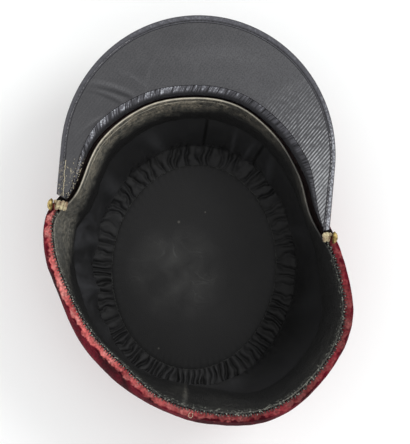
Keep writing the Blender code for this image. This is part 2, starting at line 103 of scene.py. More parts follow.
lamp = new_object("softbox", bpy.data.lights.new("softbox", "AREA"))
lamp.data.shape = "DISK"
lamp.data.size = LAMP_SIZE
lamp.data.energy = LAMP_POWER
lamp.location = LAMP_PLACE
lamp.rotation_euler = (Vector(LAMP_PLACE) - Vector(LAMP_AIM)).to_track_quat("Z", "Y").to_euler()
print("floor, sky and softbox made")

# %% [markdown]
# ## The sizes
# The cap's named sizes are those of the CAD model, in metres, so that each dressed piece lies where its
# solid does. A place on the wall has a turn, in degrees about the head opening with 90 at the peak, and a
# share of the way up from the crown.

# %% Sizes of the crown, wall and band
FULL_TURN = 360.0
GAP = 0.0003
LAYER_GAP = 0.0006
CROWN_LENGTH = 0.166
CROWN_WIDTH = 0.142
CROWN_THICKNESS = 0.0026
CROWN_BEVEL = 0.0007
HEAD_LENGTH = 0.189
HEAD_WIDTH = 0.172
HEAD_SHIFT_SIDE = 0.0035
HEAD_SHIFT_FRONT = 0.0125
FRONT_HEIGHT = 0.072
BACK_HEIGHT = 0.108
WALL_THICKNESS = 0.0015
BAND_THICKNESS = 0.0011
BAND_HEIGHT = 0.037
BAND_TURN_IN = 0.005
RIM_ROUND = 0.0019
SWELL = 0.008
WALL_FOLD = 0.0016
FOLD_HEIGHT = 0.10
BACK_SEAM_TURN = 268.0
BACK_SEAM_WIDTH = 0.011
BACK_SEAM_RISE = 0.0016
PEAK_FIRST_TURN = 13.0
PEAK_LAST_TURN = 165.3
PEAK_NOTCH = 8.0
PEAK_RAMP = 4.0
PEAK_SEAT = 0.005
RIM_WIDTH = 2 * BAND_THICKNESS + WALL_THICKNESS + 2 * LAYER_GAP
WALL_FOOT = CROWN_THICKNESS + GAP
WALL_DEPTH = BAND_THICKNESS + LAYER_GAP
print("rim width in mm:", round(RIM_WIDTH * 1000, 2))

# %% [markdown]
# ## The rim's shape
# A worn cap is never a clean oval. The table gives the rim every 20 degrees: how far out it stands, how much
# the wall swells below it, and how the sweatband tucks and leans. A smooth closed curve runs through the rows.

# %% The table of stations
Station = namedtuple("Station", "turn rim swell tuck lean")
STATIONS = (
    Station(0, 0.970, 0.25, 0.10, 0.12),
    Station(20, 0.861, 0.30, 0.75, 0.08),
    Station(40, 0.888, 0.30, 0.60, 0.05),
    Station(60, 0.947, 0.30, 0.35, 0.02),
    Station(80, 1.003, 0.35, 0.20, 0.00),
    Station(100, 1.028, 0.35, 0.20, 0.00),
    Station(120, 1.054, 0.30, 0.25, 0.05),
    Station(140, 1.053, 0.30, 0.50, 0.22),
    Station(160, 0.995, 0.35, 0.50, 0.45),
    Station(180, 1.046, 0.50, 0.10, 0.32),
    Station(200, 0.968, 0.38, 0.05, 0.18),
    Station(220, 0.924, 0.62, 0.05, 0.20),
    Station(240, 0.908, 0.70, 0.05, 0.30),
    Station(260, 0.973, 0.35, 0.05, 0.80),
    Station(280, 1.032, 0.50, 0.05, 0.95),
    Station(300, 1.118, 0.60, 0.05, 0.50),
    Station(320, 1.144, 0.50, 0.05, 0.25),
    Station(340, 1.118, 0.50, 0.05, 0.20),
)
Bump = namedtuple("Bump", "turn spread out swell")
BUMPS = (Bump(172, 7.0, 0.045, -0.30),)
Fold = namedtuple("Fold", "turn height reach depth")
FOLDS = (
    Fold(205, 0.42, 0.16, 0.9),
    Fold(232, 0.26, 0.12, 0.6),
    Fold(262, 0.50, 0.10, -0.7),
    Fold(312, 0.36, 0.14, -0.9),
    Fold(345, 0.22, 0.12, 0.7),
    Fold(150, 0.34, 0.12, -0.8),
    Fold(30, 0.40, 0.12, -0.6),
)
print("stations:", len(STATIONS))

# %% Curves through the table
def smooth_step(value):
    """0 below 0, 1 above 1, and an easy slope between."""
    value = min(1.0, max(0.0, value))
    return value * value * (3.0 - 2.0 * value)


def column(name, turn):
    """The value of one column of the stations at any turn, on a smooth closed curve through the rows."""
    step = FULL_TURN / len(STATIONS)
    place = (turn % FULL_TURN) / step
    first = int(place)
    part = place - first
    before, low, high, after = (
        getattr(STATIONS[(first + offset) % len(STATIONS)], name) for offset in (-1, 0, 1, 2)
    )
    bend = 2.0 * before - 5.0 * low + 4.0 * high - after
    twist = 3.0 * (low - high) + after - before
    return low + 0.5 * part * ((high - before) + part * (bend + part * twist))


def oval(turn, width, length, side=0.0, front=0.0):
    """A point of an oval seen from above."""
    angle = math.radians(turn)
    return Vector((side + width / 2 * math.cos(angle), front + length / 2 * math.sin(angle)))


def crown_outline(turn):
    return oval(turn, CROWN_WIDTH, CROWN_LENGTH)


def signed_turn(turn, middle):
    """How far a turn is from a middle, between -180 and 180."""
    return (turn - middle + FULL_TURN / 2) % FULL_TURN - FULL_TURN / 2


def nearness(turn, middle, spread):
    """1 at the middle of a bump, fading to 0 past its spread in degrees."""
    return math.exp(-((signed_turn(turn, middle) / spread) ** 2))


def bump_of(name, turn):
    """What the bumps add to one column of the stations."""
    return sum(getattr(bump, name) * nearness(turn, bump.turn, bump.spread) for bump in BUMPS)


@lru_cache(maxsize=None)
def rim_outline(turn):
    share = column("rim", turn) + bump_of("out", turn)
    return oval(turn, share * HEAD_WIDTH, share * HEAD_LENGTH, HEAD_SHIFT_SIDE, HEAD_SHIFT_FRONT)


def outward(outline, turn):
    """The direction that leaves an outline squarely, seen from above."""
    step = 1.0
    along = outline(turn + step) - outline(turn - step)
    return Vector((along.y, -along.x)).normalized()


def peak_presence(turn):
    """1 where the peak or the knot beside it sits on the wall's edge, 0 elsewhere, with a short ramp."""
    first = PEAK_FIRST_TURN - PEAK_NOTCH - PEAK_RAMP
    last = PEAK_LAST_TURN + PEAK_NOTCH + PEAK_RAMP
    turn %= FULL_TURN
    return smooth_step((turn - first) / PEAK_RAMP) * smooth_step((last - turn) / PEAK_RAMP)


def rim_height(turn):
    """The height of the rim, a slanted plane that is lowest at the peak."""
    front = rim_outline(90.0).y
    back = rim_outline(270.0).y
    share = (front - rim_outline(turn).y) / (front - back)
    return FRONT_HEIGHT + (BACK_HEIGHT - FRONT_HEIGHT) * share


def wall_edge_height(turn):
    """The height of the wall's edge, which is lower where the peak sits on it."""
    return rim_height(turn) - PEAK_SEAT * peak_presence(turn)


def belly(share):
    """How the swell is spread up the wall: none at the crown and the rim, and most close to the rim."""
    power = 5
    widest = power / (power + 1)
    return share**power * (1.0 - share) / (widest**power * (1.0 - widest))


def fold_depth(turn, share):
    """The soft folds of the cloth wall at one place."""
    total = 0.0
    for fold in FOLDS:
        round_part = signed_turn(turn, fold.turn) / (fold.reach * FULL_TURN / 2)
        height_part = (share - fold.height) / FOLD_HEIGHT
        total += fold.depth * math.exp(-round_part * round_part - height_part * height_part)
    return WALL_FOLD * total


@lru_cache(maxsize=None)
def wall_frame(turn):
    """What the wall needs to know at one turn: its foot and rim, its directions, swell, height and length."""
    foot = crown_outline(turn)
    rim = rim_outline(turn)
    swell = SWELL * (column("swell", turn) + bump_of("swell", turn))
    height = wall_edge_height(turn)
    length = math.hypot((rim - foot).length, height - WALL_FOOT)
    return foot, rim, outward(crown_outline, turn), outward(rim_outline, turn), swell, height, length


# %% [markdown]
# ## A point of the cloth wall
# Every layer of the wall, from velvet to sweatband, is taken from one function that gives a point at a turn, a
# share of the height and a depth from the outside. Small uneven waves are added there, so all layers wave
# together and keep their gaps.

# %% The wall's points
RIPPLE = 0.0007
RIPPLE_WAVES = 2.6


def uneven(turn, share, waves, layer):
    """Smooth noise between -1 and 1 that closes round the cap."""
    angle = math.radians(turn)
    return noise.noise(Vector((waves * math.cos(angle), waves * math.sin(angle), share + 10.0 * layer)))


def wall_point(turn, share, depth):
    foot, rim, out_foot, out_rim, swell, height, _ = wall_frame(turn)
    out = ((1.0 - share) * out_foot + share * out_rim).normalized()
    proud = (1.0 - share) * WALL_DEPTH + share * RIM_WIDTH
    proud += swell * belly(share) + fold_depth(turn, share) - depth
    proud += RIPPLE * smooth_step(3.0 * share) * uneven(turn, 2.0 * share, RIPPLE_WAVES, 1)
    plan = foot.lerp(rim, share) + out * proud
    return Vector((plan.x, plan.y, WALL_FOOT + (height - WALL_FOOT) * share))


def below_edge(turn, distance, depth):
    return wall_point(turn, 1.0 - distance / wall_frame(turn)[-1], depth)


def over_edge(turn, depth, rise):
    """A point above the wall's edge, at a depth in from the outside."""
    point = wall_point(turn, 1.0, depth)
    point.z += rise
    return point


def turns(count):
    return [FULL_TURN * index / count for index in range(count)]


def spread_turns(first, last, count):
    return [first + (last - first) * index / (count - 1) for index in range(count)]


print("rim's lowest and highest point:", round(rim_height(90.0), 4), round(rim_height(270.0), 4))

# %% [markdown]
# ## Meshes from sections
# Most pieces are rings or strips: a closed section, carried round the rim. Each point brings named values
# with it, such as how far it is up the lip, and a material reads them later as attributes. Normals are
# recalculated on the closed mesh, so faces point out.

# %% Ring, strip and disc meshes
SHARP_ANGLE = math.radians(50.0)


def make_piece(name, rows, names, closed_round=True):
    """A closed mesh from rows of (point, value, ...), each row one closed section."""
    count = len(rows[0])
    mesh = bpy.data.meshes.new(name)
    faces = []
    for index in range(len(rows) if closed_round else len(rows) - 1):
        here, there = index * count, (index + 1) % len(rows) * count
        for place in range(count):
            beside = (place + 1) % count
            faces.append((here + place, here + beside, there + beside, there + place))
    if not closed_round:
        faces.append(tuple(range(count)))
        faces.append(tuple(range((len(rows) - 1) * count, len(rows) * count)))
    flat = [entry for row in rows for entry in row]
    mesh.from_pydata([entry[0] for entry in flat], [], faces)
    for column_index, value_name in enumerate(names):
        layer = mesh.attributes.new(value_name, "FLOAT", "POINT")
        layer.data.foreach_set("value", [entry[column_index + 1] for entry in flat])
    return finish_mesh(name, mesh)


def finish_mesh(name, mesh):
    """Turns the normals out, smooths the shading and links the object."""
    bm = bmesh.new()
    bm.from_mesh(mesh)
    bmesh.ops.recalc_face_normals(bm, faces=bm.faces)
    bm.to_mesh(mesh)
    bm.free()
    mesh.shade_smooth()
    mesh.set_sharp_from_angle(angle=SHARP_ANGLE)
    return new_object(name, mesh)


def ring(name, section_at, columns, names):
    return make_piece(name, [section_at(turn) for turn in turns(columns)], names)


def strip(name, section_at, places, names):
    return make_piece(name, [section_at(place) for place in places], names, closed_round=False)


def dress(piece, material, *nodes):
    """The piece takes its material and stands for its CAD solids."""
    piece.data.materials.clear()
    piece.data.materials.append(material)
    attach(piece, "root")
    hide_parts(*nodes)
    print(piece.name, "faces:", len(piece.data.polygons), "for", *nodes)


# %% [markdown]
# ## Building node trees
# Materials and Geometry Nodes are both trees of nodes. One helper adds a node and fills its sockets, either
# with a plain value or with a link from another node. Short helpers for sums, ranges and mixed colours keep
# each material readable.

# %% Node helpers
def connect(source, node, socket):
    source.id_data.links.new(source, node.inputs[socket])


def add(tree, kind, links=None, **settings):
    """A new node, with its settings and with a value or a link for each socket named in links."""
    node = tree.nodes.new(kind)
    for name, value in settings.items():
        setattr(node, name, value)
    for socket, source in (links or {}).items():
        if isinstance(source, bpy.types.NodeSocket):
            connect(source, node, socket)
        else:
            node.inputs[socket].default_value = source
    return node


def tree_of(*values):
    """The node tree of the first socket among the values."""
    return next(value.id_data for value in values if isinstance(value, bpy.types.NodeSocket))


def maths(operation, *values, clamp=False):
    """One Math node for two values, and one more for each further value."""
    result = values[0]
    for value in values[1:] or (0.0,):
        links = {0: result, 1: value}
        result = add(tree_of(result, value), "ShaderNodeMath", links, operation=operation, use_clamp=clamp).outputs[0]
    return result


plus, minus, times = (partial(maths, operation) for operation in ("ADD", "SUBTRACT", "MULTIPLY"))


def vector_maths(operation, first, second):
    socket = "Scale" if operation == "SCALE" else 1
    return add(tree_of(first), "ShaderNodeVectorMath", {0: first, socket: second}, operation=operation).outputs[0]


def remap(value, low, high, start=0.0, end=1.0):
    sockets = {"Value": value, "From Min": low, "From Max": high, "To Min": start, "To Max": end}
    return add(tree_of(value), "ShaderNodeMapRange", sockets).outputs["Result"]


def layered(colour, *layers):
    """Lays colours over a first one, each where its mask is 1. A colour is a socket or three numbers."""
    for mask, over in layers:
        first, second = (
            shown if isinstance(shown, bpy.types.NodeSocket) else (*shown, 1.0) for shown in (colour, over)
        )
        sockets = {0: mask, 6: first, 7: second}
        colour = add(tree_of(mask), "ShaderNodeMix", sockets, data_type="RGBA").outputs[2]
    return colour


def mix(factor, first, second):
    return layered(first, (factor, second))


def noisy(place, scale, detail=3.0, distortion=0.0):
    sockets = {"Vector": place, "Scale": scale, "Detail": detail, "Distortion": distortion}
    return add(tree_of(place), "ShaderNodeTexNoise", sockets).outputs[0]


def cells(place, scale, feature="F1"):
    return add(tree_of(place), "ShaderNodeTexVoronoi", {"Vector": place, "Scale": scale}, feature=feature).outputs[0]


# %% [markdown]
# ## Effects that several materials share
# Leather grain, wear in patches, and dust with lint turn up on several pieces. Each is a node group, built
# once, with named inputs, and each material places it with its own values.

# %% New shader groups
FLOAT = "NodeSocketFloat"
WHOLE = "NodeSocketInt"
VECTOR = "NodeSocketVector"
GEOMETRY = "NodeSocketGeometry"
MATERIAL = "NodeSocketMaterial"


def new_group(name, kind, output, **inputs):
    """A node group with named inputs, each a type alone or a type and a value, and one output."""
    group = bpy.data.node_groups.new(name, kind)
    for socket_name, (socket_type, *value) in inputs.items():
        socket = group.interface.new_socket(socket_name.replace("_", " "), in_out="INPUT", socket_type=socket_type)
        if value:
            socket.default_value = value[0]
    group.interface.new_socket(output[0], in_out="OUTPUT", socket_type=output[1])
    print("group:", name)
    return group, group.nodes.new("NodeGroupInput").outputs, group.nodes.new("NodeGroupOutput")


# %% Leather grain
grain_group, given, result = new_group(
    "LeatherGrain", "ShaderNodeTree", ("Height", FLOAT), Vector=(VECTOR,), Scale=(FLOAT, 900.0), Creases=(FLOAT, 0.5)
)
cell_height = remap(cells(given["Vector"], given["Scale"], "DISTANCE_TO_EDGE"), 0.0, 0.35)
creases = noisy(given["Vector"], times(given["Scale"], 0.12), 6.0, 1.2)
crease_height = remap(maths("ABSOLUTE", minus(creases, 0.5)), 0.0, 0.06)
connect(plus(cell_height, times(crease_height, given["Creases"])), result, "Height")

# %% Wear in patches
wear_group, given, result = new_group(
    "WornPatches", "ShaderNodeTree", ("Mask", FLOAT),
    Vector=(VECTOR,), Scale=(FLOAT, 60.0), Amount=(FLOAT, 0.5), Softness=(FLOAT, 0.15),
)
patches = noisy(given["Vector"], given["Scale"], 8.0, 0.4)
threshold = remap(given["Amount"], 0.0, 1.0, 0.78, 0.22)
worn_patches = remap(patches, minus(threshold, given["Softness"]), plus(threshold, given["Softness"]))
connect(worn_patches, result, "Mask")

# %% Dust and lint
dust_group, given, result = new_group(
    "DustAndLint", "ShaderNodeTree", ("Mask", FLOAT),
    Vector=(VECTOR,), Speck_Scale=(FLOAT, 160.0), Specks=(FLOAT, 0.1), Haze=(FLOAT, 0.3),
)
specks = remap(cells(given["Vector"], given["Speck Scale"]), 0.0, given["Specks"], 1.0, 0.0)
few = remap(noisy(given["Vector"], 45.0, 2.0), 0.56, 0.64)
haze = remap(noisy(given["Vector"], 38.0, 6.0, 0.6), 0.45, 0.75)
connect(plus(times(specks, few), times(haze, given["Haze"]), clamp=True), result, "Mask")

# %% Materials from groups
def new_material(name, **plain):
    """A material whose shader has plain values; returns it with its shader and Object coordinates."""
    material = bpy.data.materials.new(name)
    material.use_nodes = True
    shader = material.node_tree.nodes["Principled BSDF"]
    for socket, value in plain.items():
        shader.inputs[socket.replace("_", " ")].default_value = value
    print("material:", name)
    return material, shader, add(material.node_tree, "ShaderNodeTexCoord").outputs["Object"]


def use_group(group, place, **values):
    """Places a shared group in the material that the coordinates belong to, and gives its mask or height."""
    sockets = {socket.replace("_", " "): value for socket, value in values.items()}
    return add(tree_of(place), "ShaderNodeGroup", {"Vector": place, **sockets}, node_tree=group).outputs[0]


def attribute(shader, name):
    return add(shader.id_data, "ShaderNodeAttribute", attribute_name=name).outputs["Fac"]


def bump(shader, height, distance, strength=1.0):
    sockets = {"Height": height, "Distance": distance, "Strength": strength}
    connect(add(shader.id_data, "ShaderNodeBump", sockets).outputs[0], shader, "Normal")


def near_place(place, middle, reach):
    """A soft round mask about a middle on the cap."""
    links = {0: place, 1: middle}
    distance = add(tree_of(place), "ShaderNodeVectorMath", links, operation="DISTANCE").outputs["Value"]
    return remap(distance, reach, 0.3 * reach)


def turned_and_scaled(place, rotation, scale):
    sockets = {"Vector": place, "Rotation": rotation, "Scale": scale}
    return add(tree_of(place), "ShaderNodeMapping", sockets).outputs[0]


def axes(place):
    return add(tree_of(place), "ShaderNodeSeparateXYZ", {0: place}).outputs


# %% [markdown]
# ## The velvet band
# The band is crimson cotton velvet, turned over the rim. Its nap is crushed and rubbed pink on the lip and stays
# dark and mottled on the outside; the pink lip is partly painted highlight, lightest on the left, and the dark
# outside is partly painted shade. A soft sheen and fine noise in the bump stand for the pile. The attribute "below"
# is the distance below the rim in centimetres, and "rubbed" is how much the lip is painted lighter there, for worn
# nap and light.

# %% Velvet
velvet, shader, place = new_material(
    "crimson_velvet", Roughness=0.85, Sheen_Weight=0.025, Sheen_Roughness=0.35,
    Sheen_Tint=(1.0, 0.45, 0.5, 1.0), Specular_IOR_Level=0.07,
)
border = times(minus(noisy(place, 230.0, 2.5), 0.5), 0.85)
on_lip = remap(plus(attribute(shader, "below"), border), -0.07, -0.19)
worn_and_lit_lip = times(on_lip, attribute(shader, "rubbed"))
pile = noisy(place, 700.0, 3.0)
mottle = noisy(place, 95.0, 5.0, 0.3)
crushed = noisy(place, 40.0, 4.0, 0.8)
rubbed = use_group(wear_group, place, Scale=210.0, Amount=0.40, Softness=0.10)
# painted light: the pink lip, lightest on the left, is partly rubbed nap and partly painted highlight; the dark outer
# side is partly painted shade
colour = layered(
    mix(remap(crushed, 0.40, 0.62), (0.030, 0.0012, 0.004), (0.120, 0.005, 0.014)),
    (worn_and_lit_lip, mix(remap(mottle, 0.35, 0.65), (0.35, 0.060, 0.062), (0.70, 0.172, 0.160))),
    (times(rubbed, times(worn_and_lit_lip, 0.50)), (0.72, 0.37, 0.33)),
    # painted shade: the velvet under the peak's root, and where it turns in behind the sweatband, is painted near
    # black
    (attribute(shader, "hidden"), (0.006, 0.005, 0.005)),
)
connect(vector_maths("SCALE", colour, remap(pile, 0.33, 0.67, 0.55, 1.30)), shader, "Base Color")
bump(shader, plus(pile, mottle), 0.0006, 0.6)

# %% The band's shape
WALL_COLUMNS = 540
BAND_ROWS = 22
LIP_ROWS = 12
PUCKER = 0.00028
PUCKER_WAVES = 17.0
LIP_LEFT_TURN = 208.0
LIP_LEFT_SPREAD = 52.0
LIP_RUB_AND_LIGHT_LEAST = 0.18
LIP_RUB_AND_LIGHT_MORE = 0.82
FAR_ROWS = (BAND_TURN_IN / BAND_HEIGHT, 0.30, 0.60, 1.0)


def back_seam_rise(turn):
    away = math.radians(signed_turn(turn, BACK_SEAM_TURN)) * HEAD_LENGTH / 2
    return BACK_SEAM_RISE * math.exp(-((2.0 * away / BACK_SEAM_WIDTH) ** 2))


def band_point(turn, row, depth):
    """row is 0 at the edge and 1 at the band's far side."""
    return below_edge(turn, row * (BAND_HEIGHT - PEAK_SEAT * peak_presence(turn)), depth)


def over_peak_root(turn, ramp, past):
    """1 along the peak's root and 0 beyond it; the ramp is in degrees, and past moves it outwards."""
    first = smooth_step((turn - PEAK_FIRST_TURN) / ramp + past)
    return first * smooth_step((PEAK_LAST_TURN - turn) / ramp + past)


def band_section(turn):
    """Values: the distance below the rim in centimetres, how rubbed and lit the lip is painted, and painted shade
    under the peak's root and on the turned-in velvet.
    """
    under_peak = over_peak_root(turn, 1.5, 2.6)
    beyond = 1.0 - over_peak_root(turn, 0.5, 1.0)
    # how much the lip is painted lighter at this turn, for rubbed nap and for light, most on the left
    rubbed_and_lit_here = LIP_RUB_AND_LIGHT_LEAST + LIP_RUB_AND_LIGHT_MORE * nearness(turn, LIP_LEFT_TURN, LIP_LEFT_SPREAD)
    rise = RIM_ROUND + back_seam_rise(turn)
    pucker = PUCKER * uneven(turn, 0.0, PUCKER_WAVES, 2)
    turned = FAR_ROWS[0]
    inner = RIM_WIDTH - BAND_THICKNESS
    rows = []
    for index in range(BAND_ROWS):
        row = 1.0 - index / BAND_ROWS
        swell = PUCKER * uneven(turn, 6.0 * row, 6.0, 3) * math.sin(math.pi * row)
        point = band_point(turn, row, -swell - pucker * (1.0 - row))
        rows.append((point, 100.0 * row * BAND_HEIGHT, rubbed_and_lit_here, 0.0))
    for index in range(LIP_ROWS + 1):
        angle = math.pi * index / LIP_ROWS
        across = RIM_WIDTH * (0.5 - 0.5 * math.cos(angle)) - pucker * math.cos(angle)
        # painted shade, near black, on the lip under the peak's root
        hidden = under_peak * smooth_step(4.0 * across / RIM_WIDTH - 0.6 + 1.2 * beyond)
        rows.append((over_edge(turn, across, rise * math.sin(angle) ** 0.8), -100.0 * across, rubbed_and_lit_here, hidden))
    # the turned-in velvet behind the sweatband is painted near black as shade
    for point in (
        band_point(turn, 0.5 * turned, RIM_WIDTH),
        band_point(turn, turned, RIM_WIDTH),
        band_point(turn, turned, inner),
        over_edge(turn, inner, GAP),
        over_edge(turn, BAND_THICKNESS, GAP),
    ):
        rows.append((point, -1.0, rubbed_and_lit_here, 1.0))
    rows += [(band_point(turn, row, BAND_THICKNESS), 1.0, rubbed_and_lit_here, 0.0) for row in FAR_ROWS]
    return rows


band = ring("velvet_band", band_section, WALL_COLUMNS, ("below", "rubbed", "hidden"))
dress(band, velvet, "band")

# %% [markdown]
# ## The cloth wall and the crown
# The kepi's body is thick napped wool. It is seen only from the sides, so the wall follows the table's folds and
# the material carries the felted surface. The crown is a board covered with the same cloth.

# %% Wool cloth
wool, shader, place = new_material(
    "red_wool", Roughness=0.95, Sheen_Weight=0.25, Sheen_Roughness=0.6,
    Sheen_Tint=(1.0, 0.7, 0.7, 1.0), Specular_IOR_Level=0.15,
)
felt = noisy(place, 900.0, 4.0)
clouds = noisy(place, 30.0, 5.0)
dusty = use_group(dust_group, place, Speck_Scale=240.0, Specks=0.10, Haze=0.15)
colour = layered(
    mix(remap(clouds, 0.35, 0.65), (0.14, 0.009, 0.013), (0.22, 0.017, 0.019)),
    (times(dusty, 0.4), (0.42, 0.30, 0.26)),
    (attribute(shader, "inside"), (0.008, 0.007, 0.006)),
)
napped = remap(noisy(place, 230.0, 4.0, 0.3), 0.35, 0.65, 0.84, 1.10)
shade = times(napped, remap(felt, 0.3, 0.7, 0.75, 1.15))
connect(vector_maths("SCALE", colour, shade), shader, "Base Color")
bump(shader, felt, 0.0005, 0.6)

# %% The wall's shape
WALL_ROWS = 34
CLOTH_COLUMNS = 360


def wall_section(turn):
    shares = [index / WALL_ROWS for index in range(WALL_ROWS + 1)]
    outside = [(wall_point(turn, share, WALL_DEPTH), 0.0) for share in shares]
    inside = [(wall_point(turn, share, WALL_DEPTH + WALL_THICKNESS), 1.0) for share in reversed(shares[::2])]
    return outside + inside


wall = ring("cloth_wall", wall_section, CLOTH_COLUMNS, ("inside",))
dress(wall, wool, "crown_wall")

# %% The crown's shape
CROWN_COLUMNS = 180
BEVEL_STEPS = 6


def disc(name, columns, bottom, top):
    """A closed disc from columns of points that run from the bottom's rim to the top's middle."""
    mesh = bpy.data.meshes.new(name)
    bm = bmesh.new()
    lines = [[bm.verts.new(point) for point in line] for line in columns]
    low, high = bm.verts.new(bottom), bm.verts.new(top)
    for index, line in enumerate(lines):
        after = lines[(index + 1) % len(lines)]
        for row in range(len(line) - 1):
            bm.faces.new((line[row], after[row], after[row + 1], line[row + 1]))
        bm.faces.new((low, after[0], line[0]))
        bm.faces.new((high, line[-1], after[-1]))
    bm.to_mesh(mesh)
    bm.free()
    return finish_mesh(name, mesh)


def crown_rows(turn):
    outline = crown_outline(turn)
    out = outward(crown_outline, turn)
    rows = []
    for step in range(BEVEL_STEPS + 1):
        angle = math.pi * step / BEVEL_STEPS - math.pi / 2
        inset = CROWN_BEVEL * (1.0 - math.cos(angle))
        height = CROWN_THICKNESS / 2 * (1.0 + math.sin(angle))
        plan = outline - out * inset
        rows.append(Vector((plan.x, plan.y, height)))
    return rows


crown_columns = [crown_rows(turn) for turn in turns(CROWN_COLUMNS)]
crown = disc("crown_disc", crown_columns, (0.0, 0.0, 0.0), (0.0, 0.0, CROWN_THICKNESS))
dress(crown, wool, "crown_top")

# %% [markdown]
# ## The sweatband
# A strip of thin black leather lines the rim. Years of wear have rubbed it to tan and grey at the forehead and
# grey at the left temple, and its cut edge shows raw and pale. At the back its grey is partly a painted highlight,
# a sheen on the leather and along the butt seam. The table says where it is worn and where that grey is painted;
# the attributes "tan", "grey", "down" and "raw" carry that to the material.

# %% Sweatband leather
sweat_leather, shader, place = new_material("sweatband_leather", Specular_IOR_Level=0.35)
tan, grey, down, raw, seam = (attribute(shader, name) for name in ("tan", "grey", "down", "raw", "seam"))
fine = use_group(wear_group, place, Scale=420.0, Amount=0.55, Softness=0.10)
broad = use_group(wear_group, place, Scale=75.0, Amount=0.62, Softness=0.16)
ragged = plus(down, times(minus(noisy(place, 150.0, 5.0), 0.5), 0.9))
stains = remap(noisy(place, 190.0, 6.0, 0.5), 0.41, 0.59, 0.10, 1.22)
pores = remap(noisy(place, 800.0, 3.0), 0.40, 0.60, 0.30, 1.42)
blotches = remap(noisy(place, 520.0, 4.0), 0.40, 0.60, 0.50, 1.05)
tan_mask = times(tan, remap(ragged, 0.95, 0.35), times(stains, pores))
grey_mask = times(grey, remap(ragged, 1.20, 0.62), blotches)
worn_all = maths("MAXIMUM", tan_mask, grey_mask)
colour = layered(
    (0.0105, 0.0105, 0.0105),
    (grey_mask, (0.078, 0.080, 0.074)),
    (tan_mask, (0.158, 0.140, 0.108)),
    (times(fine, broad, worn_all, 0.38), (0.34, 0.31, 0.24)),
    (times(seam, remap(noisy(place, 850.0, 3.0), 0.57, 0.63), 0.8), (0.24, 0.25, 0.215)),
    (raw, (0.72, 0.67, 0.55)),
)
connect(colour, shader, "Base Color")
connect(remap(worn_all, 0.0, 1.0, 0.48, 0.80), shader, "Roughness")
bump(shader, use_group(grain_group, place, Scale=750.0, Creases=1.4), 0.00025, 0.7)

# %% Where the sweatband is worn
# turn and spread in degrees, tan and grey as shares, reach as the share of the strip that is worn.
Wear = namedtuple("Wear", "turn spread tan grey reach")
WEAR = (
    Wear(100, 20, 0.68, 0.38, 0.44),
    Wear(128, 18, 0.70, 0.50, 0.30),
    Wear(150, 14, 0.50, 0.75, 0.30),
    Wear(178, 14, 0.15, 1.00, 0.75),
    Wear(66, 16, 0.22, 0.16, 0.24),
    Wear(30, 14, 0.10, 0.20, 0.12),
    # The rows from 246 to 325 paint grey at the back: at the butt seam, 265 and 268.5, a painted highlight; elsewhere
    # partly wear and partly painted sheen.
    Wear(268.5, 0.9, 0.00, 0.50, 0.00),
    Wear(265, 5, 0.00, 0.05, 1.10),
    Wear(246, 14, 0.00, 0.07, 0.20),
    Wear(286, 12, 0.00, 0.08, 0.50),
    Wear(325, 18, 0.00, 0.07, 0.40),
)
WORN_AT_LEAST = 0.15


def worn(name, turn):
    return min(1.0, sum(getattr(row, name) * nearness(turn, row.turn, row.spread) for row in WEAR))


print("worn at the front:", round(worn("tan", 100.0), 2))

# %% The sweatband's shape
SWEATBAND_THICKNESS = 0.0012
SWEATBAND_WIDTH = 0.034
SWEATBAND_TUCK = 0.004
SWEATBAND_LEAN = 0.012
SWEATBAND_BOW = 0.0012
LINING_THICKNESS = 0.001
CordEnd = namedtuple("CordEnd", "side way wound inside")
CORD_ENDS = (
    CordEnd("left", -1.0, 3, 0.0045),
    CordEnd("right", 1.0, 2, 0.0030),
)
SWEATBAND_DIP = 0.0042
SWEATBAND_DIP_SPREAD = 7.0
KNOT_LENGTH = 0.0068
KNOT_AWAY = math.degrees((KNOT_LENGTH / 2 + 2 * GAP) / (HEAD_WIDTH / 2))
SWEATBAND_ROWS = 26
CRINKLE = 0.00045
SECOND_LINE = (0.090, 0.100)
NEAR_EDGE = (0.112, *SECOND_LINE[::-1], 0.078, 0.060, 0.044, 0.028, 0.014, 0.0)
RAW_ON_EDGE = (0.5, 1.0, 0.0)
RawPlace = namedtuple("RawPlace", "turn spread amount")
RAW_AT_RIGHT = RawPlace(312.0, 26.0, 0.13)


def knot_turn(end):
    return PEAK_FIRST_TURN - KNOT_AWAY if end.way > 0 else PEAK_LAST_TURN + KNOT_AWAY


@lru_cache(maxsize=None)
def sweatband_lines(turn):
    """The sweatband's edge at the rim, its other edge, and the direction outwards, at one turn."""
    wall_inside = WALL_DEPTH + WALL_THICKNESS
    edge_depth = RIM_WIDTH + GAP + SWEATBAND_TUCK * column("tuck", turn)
    low_depth = wall_inside + LINING_THICKNESS + 2 * LAYER_GAP + SWEATBAND_LEAN * column("lean", turn)
    top = wall_point(turn, 1.0, edge_depth)
    dip = sum(nearness(turn, knot_turn(end), SWEATBAND_DIP_SPREAD) for end in CORD_ENDS)
    top.z = rim_height(turn) - SWEATBAND_DIP * dip
    low = below_edge(turn, SWEATBAND_WIDTH - PEAK_SEAT * peak_presence(turn), low_depth)
    return top, low, outward(rim_outline, turn)


def sweatband_point(turn, share, depth):
    """share is 0 at the rim and 1 at the other edge inside the cap."""
    top, low, out = sweatband_lines(turn)
    bow = SWEATBAND_BOW * math.sin(math.pi * min(1.0, max(0.0, share)))
    plan = out * (-depth - bow)
    return top.lerp(low, share) + Vector((plan.x, plan.y, 0.0))


